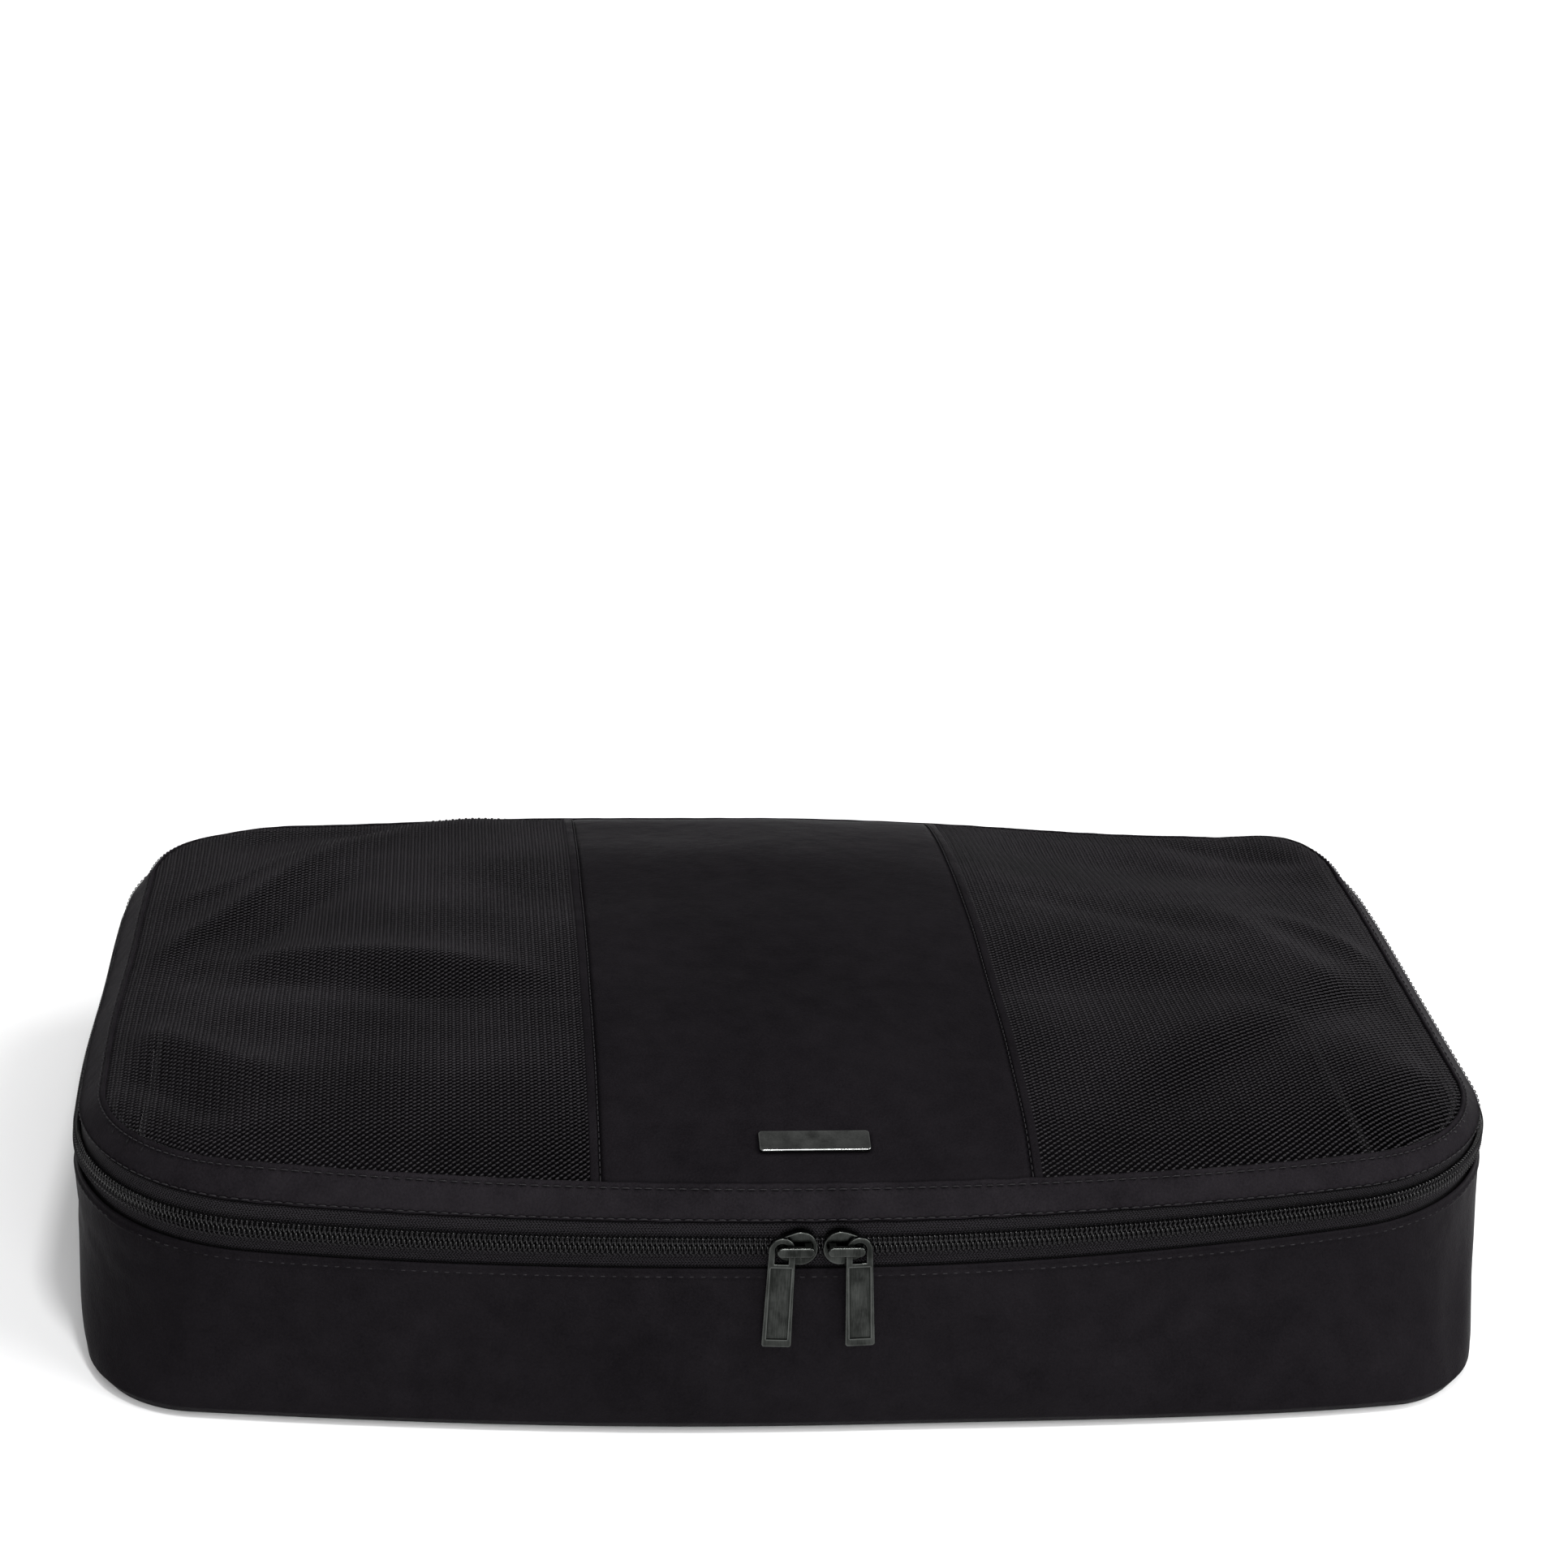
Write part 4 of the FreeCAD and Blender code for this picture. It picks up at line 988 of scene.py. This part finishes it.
def ironed(grid, passes):
    """A grid with its smallest creases smoothed away, as springy mesh does by itself."""
    for _ in range(passes):
        for axis in (0, 1):
            padded = np.concatenate([grid.take([0], axis), grid, grid.take([-1], axis)], axis)
            before = padded.take(range(grid.shape[axis]), axis)
            after = padded.take(range(2, grid.shape[axis] + 2), axis)
            grid = (before + 2 * grid + after) / 4
    return grid


def lay_sheet():
    x, y = np.meshgrid(SHEET_X, SHEET_Y, indexing="ij")
    z = crown(x, y)
    cut = np.stack([x, y, z], axis=2)
    moved = np.clip(ironed(drape(x, y, z) - cut, 8), -DRAPE_LIMIT, DRAPE_LIMIT)
    free = ease(0, 14 * MM, inside_by(x, y)) * (1 - near_plate(x, y))
    return cut + moved * free[..., None]


SHEET = lay_sheet()


def fold(x, y, start, end, width, height):
    """A soft ridge or crease from start to end, fading at both ends."""
    start = np.array(start) * MM
    end = np.array(end) * MM
    run = end - start
    length = math.hypot(*run)
    along = ((x - start[0]) * run[0] + (y - start[1]) * run[1]) / length
    aside = ((x - start[0]) * run[1] - (y - start[1]) * run[0]) / length
    fading = ease(-0.15, 0.2, along / length) * (1 - ease(0.7, 1.1, along / length))
    profile = 1 / np.cosh(1.6 * aside / (width * MM))
    return height * MM * profile * fading


# folds that stay in the mesh: start, end, half width and height, all in millimetres
FOLDS = [
    ((-208, 8), (-142, 98), 9, 3.4),
    ((-150, 92), (-84, 122), 10, 2.2),
    ((-190, -10), (-132, 70), 10, -2.2),
    ((-200, 58), (-150, 96), 7, 1.6),
    ((-182, 8), (-70, -34), 10, 2.8),
    ((-182, -10), (-90, -50), 12, -2.6),
    ((-206, -40), (-152, -92), 10, 3.6),
    ((-206, -66), (-168, -108), 9, -2.4),
    ((-186, 122), (-120, 128), 20, -3.5),
    ((209, -10), (90, -125), 14, -2.2),
    ((192, -4), (84, -106), 16, 1.9),
    ((206, 4), (166, 40), 10, 2.0),
    ((198, -72), (150, -114), 10, 1.4),
    ((150, 40), (186, -32), 13, 2.0),
    ((198, 96), (150, 128), 12, -2.4),
    ((80, 40), (150, 10), 12, -1.3),
    ((190, 78), (60, 112), 34, -4.5),
]


def folds(x, y):
    total = sum(fold(x, y, *one) for one in FOLDS)
    panel = 0.35 * MM * ripple(x, 1.4 * y, 60 * MM, 51) * stiffness(x, y)
    free = ease(1 * MM, 16 * MM, inside_by(x, y)) * (1 - near_plate(x, y))
    return (total * (1 - stiffness(x, y)) + panel) * free


def cubic(t):
    """Catmull-Rom weights for the four nearest nodes."""
    return np.stack([-0.5 * t + t ** 2 - 0.5 * t ** 3, 1 - 2.5 * t ** 2 + 1.5 * t ** 3,
                     0.5 * t + 2 * t ** 2 - 1.5 * t ** 3, -0.5 * t ** 2 + 0.5 * t ** 3], axis=-1)


FOLD_GRID_STEP = 2 * MM
FOLD_X = np.arange(-112, 113) * FOLD_GRID_STEP
FOLD_Y = np.arange(-77, 78) * FOLD_GRID_STEP
FOLD_GRID = folds(*np.meshgrid(FOLD_X, FOLD_Y, indexing="ij"))[..., None]


def from_grid(grid, first_x, first_y, step, x, y):
    """Smooth values of a grid at any points."""
    u = (x - first_x) / step
    v = (y - first_y) / step
    i = np.clip(np.floor(u).astype(int), 1, grid.shape[0] - 3)
    j = np.clip(np.floor(v).astype(int), 1, grid.shape[1] - 3)
    weights_u = cubic(u - i)
    weights_v = cubic(v - j)
    total = 0
    for a in range(4):
        for b in range(4):
            weight = (weights_u[..., a] * weights_v[..., b])[..., None]
            total = total + weight * grid[i + a - 1, j + b - 1]
    return total


def sheet_point(x, y):
    """The top's cloth at a point of its flat pattern."""
    points = from_grid(SHEET, SHEET_X[0], SHEET_Y[0], SHEET_STEP, x, y)
    points[..., 2] += from_grid(FOLD_GRID, FOLD_X[0], FOLD_Y[0], FOLD_GRID_STEP, x, y)[..., 0]
    return points


def sheet_spot(x, y, lift):
    """A point above the top's cloth, and which way the cloth faces there."""
    step = 0.8 * MM
    along_x = sheet_point(x + step, y) - sheet_point(x - step, y)
    along_y = sheet_point(x, y + step) - sheet_point(x, y - step)
    facing = unit(np.cross(along_x, along_y))
    lift = np.broadcast_to(lift, np.shape(x))
    return sheet_point(x, y) + facing * lift[..., None], facing


def edges_at(x):
    """The front and back edges of the top panels at a place across the lid."""
    under_rim = 1.6 * MM
    spots, _ = plan(OUTLINE_AT, RIM_TOP_INSET - under_rim, RIM_TOP_CORNER + under_rim, FRONT_BOW)
    front = spots[(OUTLINE_AT > EDGE_AT[3]) & (OUTLINE_AT < EDGE_AT[6])]
    back = spots[(OUTLINE_AT < EDGE_AT[2]) | (OUTLINE_AT > EDGE_AT[7])]
    back = back[np.argsort(back[:, 0])]
    return np.interp(x, front[:, 0], front[:, 1]), np.interp(x, back[:, 0], back[:, 1])


def strip(x, rows):
    """The flat pattern of a strip of the top, as a grid from its front edge to its back edge."""
    front, back = edges_at(x)
    grid_y = front[:, None] + np.linspace(0, 1, rows) * (back - front)[:, None]
    return np.broadcast_to(x[:, None], grid_y.shape), grid_y


def slab(name, look, node, grid_x, grid_y, over, under):
    """A closed piece of the lid's cloth between two lifts off its top."""
    columns, rows = grid_x.shape
    count = columns * rows
    up = quads(columns, rows)
    index = np.arange(count).reshape(columns, rows)
    border = np.concatenate([index[:-1, 0], index[-1, :-1], index[:0:-1, -1], index[0, :0:-1]])
    weave = np.stack([grid_x, grid_y, np.zeros_like(grid_x)], axis=2).reshape(-1, 3)
    points = np.concatenate([sheet_spot(grid_x, grid_y, lift)[0].reshape(-1, 3)
                             for lift in (over, under)])
    piece = new_mesh(name, settle(points), [up, up[:, ::-1] + count, skirt(border, count)],
                     np.concatenate([weave, weave]))
    return finish_piece(piece, LOOKS[look], "lid", [node])


def make_centre_panel():
    """The plain panel: one closed sheet between its two stitched hems."""
    grid_x, grid_y = strip(np.linspace(-PANEL_HALF, PANEL_HALF, 60), 150)
    sink = 0.45 * MM * hill(np.abs(grid_x), PANEL_HALF, 0.9 * MM)
    piece = slab("centre_panel_cloth", "nylon", "centre_panel", grid_x, grid_y,
                 0.45 * MM - sink, -0.15 * MM)


def make_hems():
    """The panel's folded side edges, each stitched down over the mesh."""
    for side, name in ((-1, "left"), (1, "right")):
        profile = np.linspace(0, 1, 12)[::side]
        x = side * (PANEL_HALF + 0.15 * MM + (PANEL_HEM - 0.15 * MM) * profile)
        grid_x, grid_y = strip(x, 190)
        bulge = 0.62 * MM * np.sqrt(np.clip(1 - (2 * profile[:, None] - 1) ** 4, 0, 1))
        wavy = 0.10 * MM * ripple(grid_y, 0 * grid_y, 9 * MM, 61 + side)
        slab(f"{name}_hem_fold", "nylon", f"{name}_panel_hem", grid_x, grid_y,
             bulge + 0.1 * MM + wavy * (bulge > 0), 0)
        places = stitch_places(-TOP_BACK + 1 * MM, TOP_BACK - 1 * MM, FINE_PITCH)
        line = side * (PANEL_HALF - 0.1 * MM)
        (a, facing), (b, _) = (sheet_spot(np.full(len(y), line), y, 0.32 * MM) for y in places)
        stitches(f"{name}_hem_stitches", settle(a), settle(b), facing, "lid", 0.2 * MM)


def make_mesh_panels():
    """Knitted mesh: small roofed bars that overlap at their ends and leave holes between."""
    corner_x = np.array([-1, -1, 1, 1, -0.5, 0.5]) * BAR_HALF
    corner_y = np.array([-1, 1, 1, -1, 0, 0]) * BAR_WIDTH + corner_x / BAR_HALF * BAR_SLANT
    roof = np.array([[0, 3, 5, 4], [2, 1, 4, 5]])
    ends = np.array([[1, 0, 4], [3, 2, 5]])
    under = np.array([[0, 1, 2, 3]])
    first = PANEL_HALF + 1.0 * MM
    last = TOP_HALF + 1.6 * MM
    for side, name in ((-1, "left"), (1, "right")):
        columns = side * np.arange(int(first / COLUMN) + 1, int(last / COLUMN))
        rows = np.arange(-int(BACK / ROW), int(BACK / ROW))
        column, row = (grid.ravel() for grid in np.meshgrid(columns, rows, indexing="ij"))
        x = column * COLUMN
        y = (row + 0.5 * (column % 2)) * ROW
        front, back = edges_at(x)
        kept = (y > front + BAR_WIDTH) & (y < back - BAR_WIDTH)
        rise = np.where(column[kept] % 2 == 0, RIB_RISE, BAR_RISE)
        lift = rise[:, None] * np.array([0, 0, 0, 0, 1, 1])
        spots, _ = sheet_spot(x[kept, None] + corner_x, y[kept, None] + corner_y, lift)
        start = 6 * np.arange(len(spots))[:, None, None]
        faces = [(part[None] + start).reshape(-1, part.shape[1]) for part in (roof, under, ends)]
        piece = new_mesh(f"{name}_mesh_knit", settle(spots.reshape(-1, 3)), faces)
        finish_piece(piece, LOOKS["mesh"], "lid", [f"{name}_mesh_panel"])


def make_backing():
    """The stiff patch sewn behind the plate, inside the lid."""
    low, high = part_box("badge_backing")
    grid_x, grid_y = np.meshgrid(np.linspace(low[0], high[0], 30),
                                 np.linspace(low[1], high[1], 12), indexing="ij")
    slab("plate_backing_cloth", "binding", "badge_backing", grid_x, grid_y, -0.5 * MM, -1.1 * MM)


# ---------------------------------------------------------------- the fabric hinge

def make_hinge():
    """One strip of tape across the back, sewn inside the wall and inside the rim."""
    levels = []
    behind_wall = CLOTH + 0.6 * MM
    for height in np.linspace(HEM - 5 * MM, RIM_LOW + 4 * MM, 34):
        inset = behind_wall + (2 * MM + RIM_LOW_INSET - behind_wall) * ease(HEM, RIM_LOW, height)
        inset = max(inset, behind_rim(height)) - 0.9 * MM * hill(height, ZIP, 5 * MM)
        levels.append((height, inset, CORNER, FRONT_BOW))
    overlap = 6 * MM
    span = (BEHIND[0] - overlap, BEHIND[1] + overlap)
    piece = sweep("hinge_tape", span, SWEEP_STEP, levels, 0.7 * MM)
    piece.data.materials.append(LOOKS["binding"])
    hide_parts("base_hinge_strip", "lid_hinge_strip")
    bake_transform(piece)


# ---------------------------------------------------------------- hardware

def dress_hardware():
    """The CAD's own sliders, bridges, pull tabs and plate, in plated metal."""
    names = ["badge_plate"]
    for side in ("left", "right"):
        names += [f"{side}_slider_body", f"{side}_slider_bridge", f"{side}_pull_tab"]
    for name in names:
        look = LOOKS["plate" if name == "badge_plate" else "metal"]
        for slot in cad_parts[name].material_slots:
            slot.material = look


# ---------------------------------------------------------------- studio

FOCAL_PIXELS = 4470
FRAME_PIXELS = 1932
SENSOR = 36.0
CAMERA_AWAY = 1.1584
CAMERA_AZIMUTH = -5.68
CAMERA_ELEVATION = 21.78
CAMERA_ROLL = math.radians(2.09)
CAMERA_TARGET = Vector((-0.0006, 0.0, 0.1488))


def facing_case(azimuth, elevation, distance, target=Vector()):
    """The placing of a lamp or camera that faces a target from a direction in degrees.

    Azimuth 0 is in front of the case, and 90 on its right.
    """
    turn = math.radians(azimuth)
    rise = math.radians(elevation)
    flat = math.cos(rise)
    away = Vector((math.sin(turn) * flat, -math.cos(turn) * flat, math.sin(rise)))
    turned = away.to_track_quat("Z", "Y").to_matrix().to_4x4()
    return Matrix.Translation(target + away * distance) @ turned


def place_in_scene(name, data, placing):
    made = bpy.data.objects.new(name, data)
    made.matrix_world = placing
    bpy.context.scene.collection.objects.link(made)
    return made


def make_camera():
    lens = bpy.data.cameras.new("camera")
    lens.sensor_width = SENSOR
    lens.lens = FOCAL_PIXELS * SENSOR / FRAME_PIXELS
    placing = facing_case(CAMERA_AZIMUTH, CAMERA_ELEVATION, CAMERA_AWAY, CAMERA_TARGET)
    placing = placing @ Matrix.Rotation(CAMERA_ROLL, 4, "Z")
    bpy.context.scene.camera = place_in_scene("camera", lens, placing)


def make_floor():
    half = 14.0
    corners = [(-half, -half, 0), (half, -half, 0), (half, half, 0), (-half, half, 0)]
    floor = new_mesh("floor", corners, [np.array([[0, 1, 2, 3]])], smooth=False)
    floor.data.materials.append(LOOKS["floor"])


def lamp(name, kind, azimuth, elevation, distance=0.0, **settings):
    """A lamp that shines on the case from a direction in degrees."""
    light = bpy.data.lights.new(name, kind)
    assign(light, **settings)
    place_in_scene(name, light, facing_case(azimuth, elevation, distance))


def light_studio():
    """Two broad soft lights, and a small softbox that shows as a highlight on the metal."""
    world = bpy.data.worlds.new("studio")
    world.use_nodes = True
    background = world.node_tree.nodes["Background"]
    background.inputs["Color"].default_value = (1, 1, 1, 1)
    background.inputs["Strength"].default_value = 0.30
    bpy.context.scene.world = world
    lamp("key_light", "SUN", 75, 36, energy=2.9, angle=math.radians(45))
    lamp("front_light", "SUN", 0, 32, energy=2.3, angle=math.radians(50))
    lamp("upper_softbox", "AREA", 8, 66, 1.6, shape="RECTANGLE", size=0.2, size_y=0.2, energy=10)
    bpy.context.scene.view_settings.view_transform = "Standard"


make_camera()
make_floor()
light_studio()
make_wall()
make_bottom()
make_bindings()
make_tapes()
make_coils()
make_coil_threads()
make_rim()
make_centre_panel()
make_hems()
make_mesh_panels()
make_backing()
make_hinge()
dress_hardware()
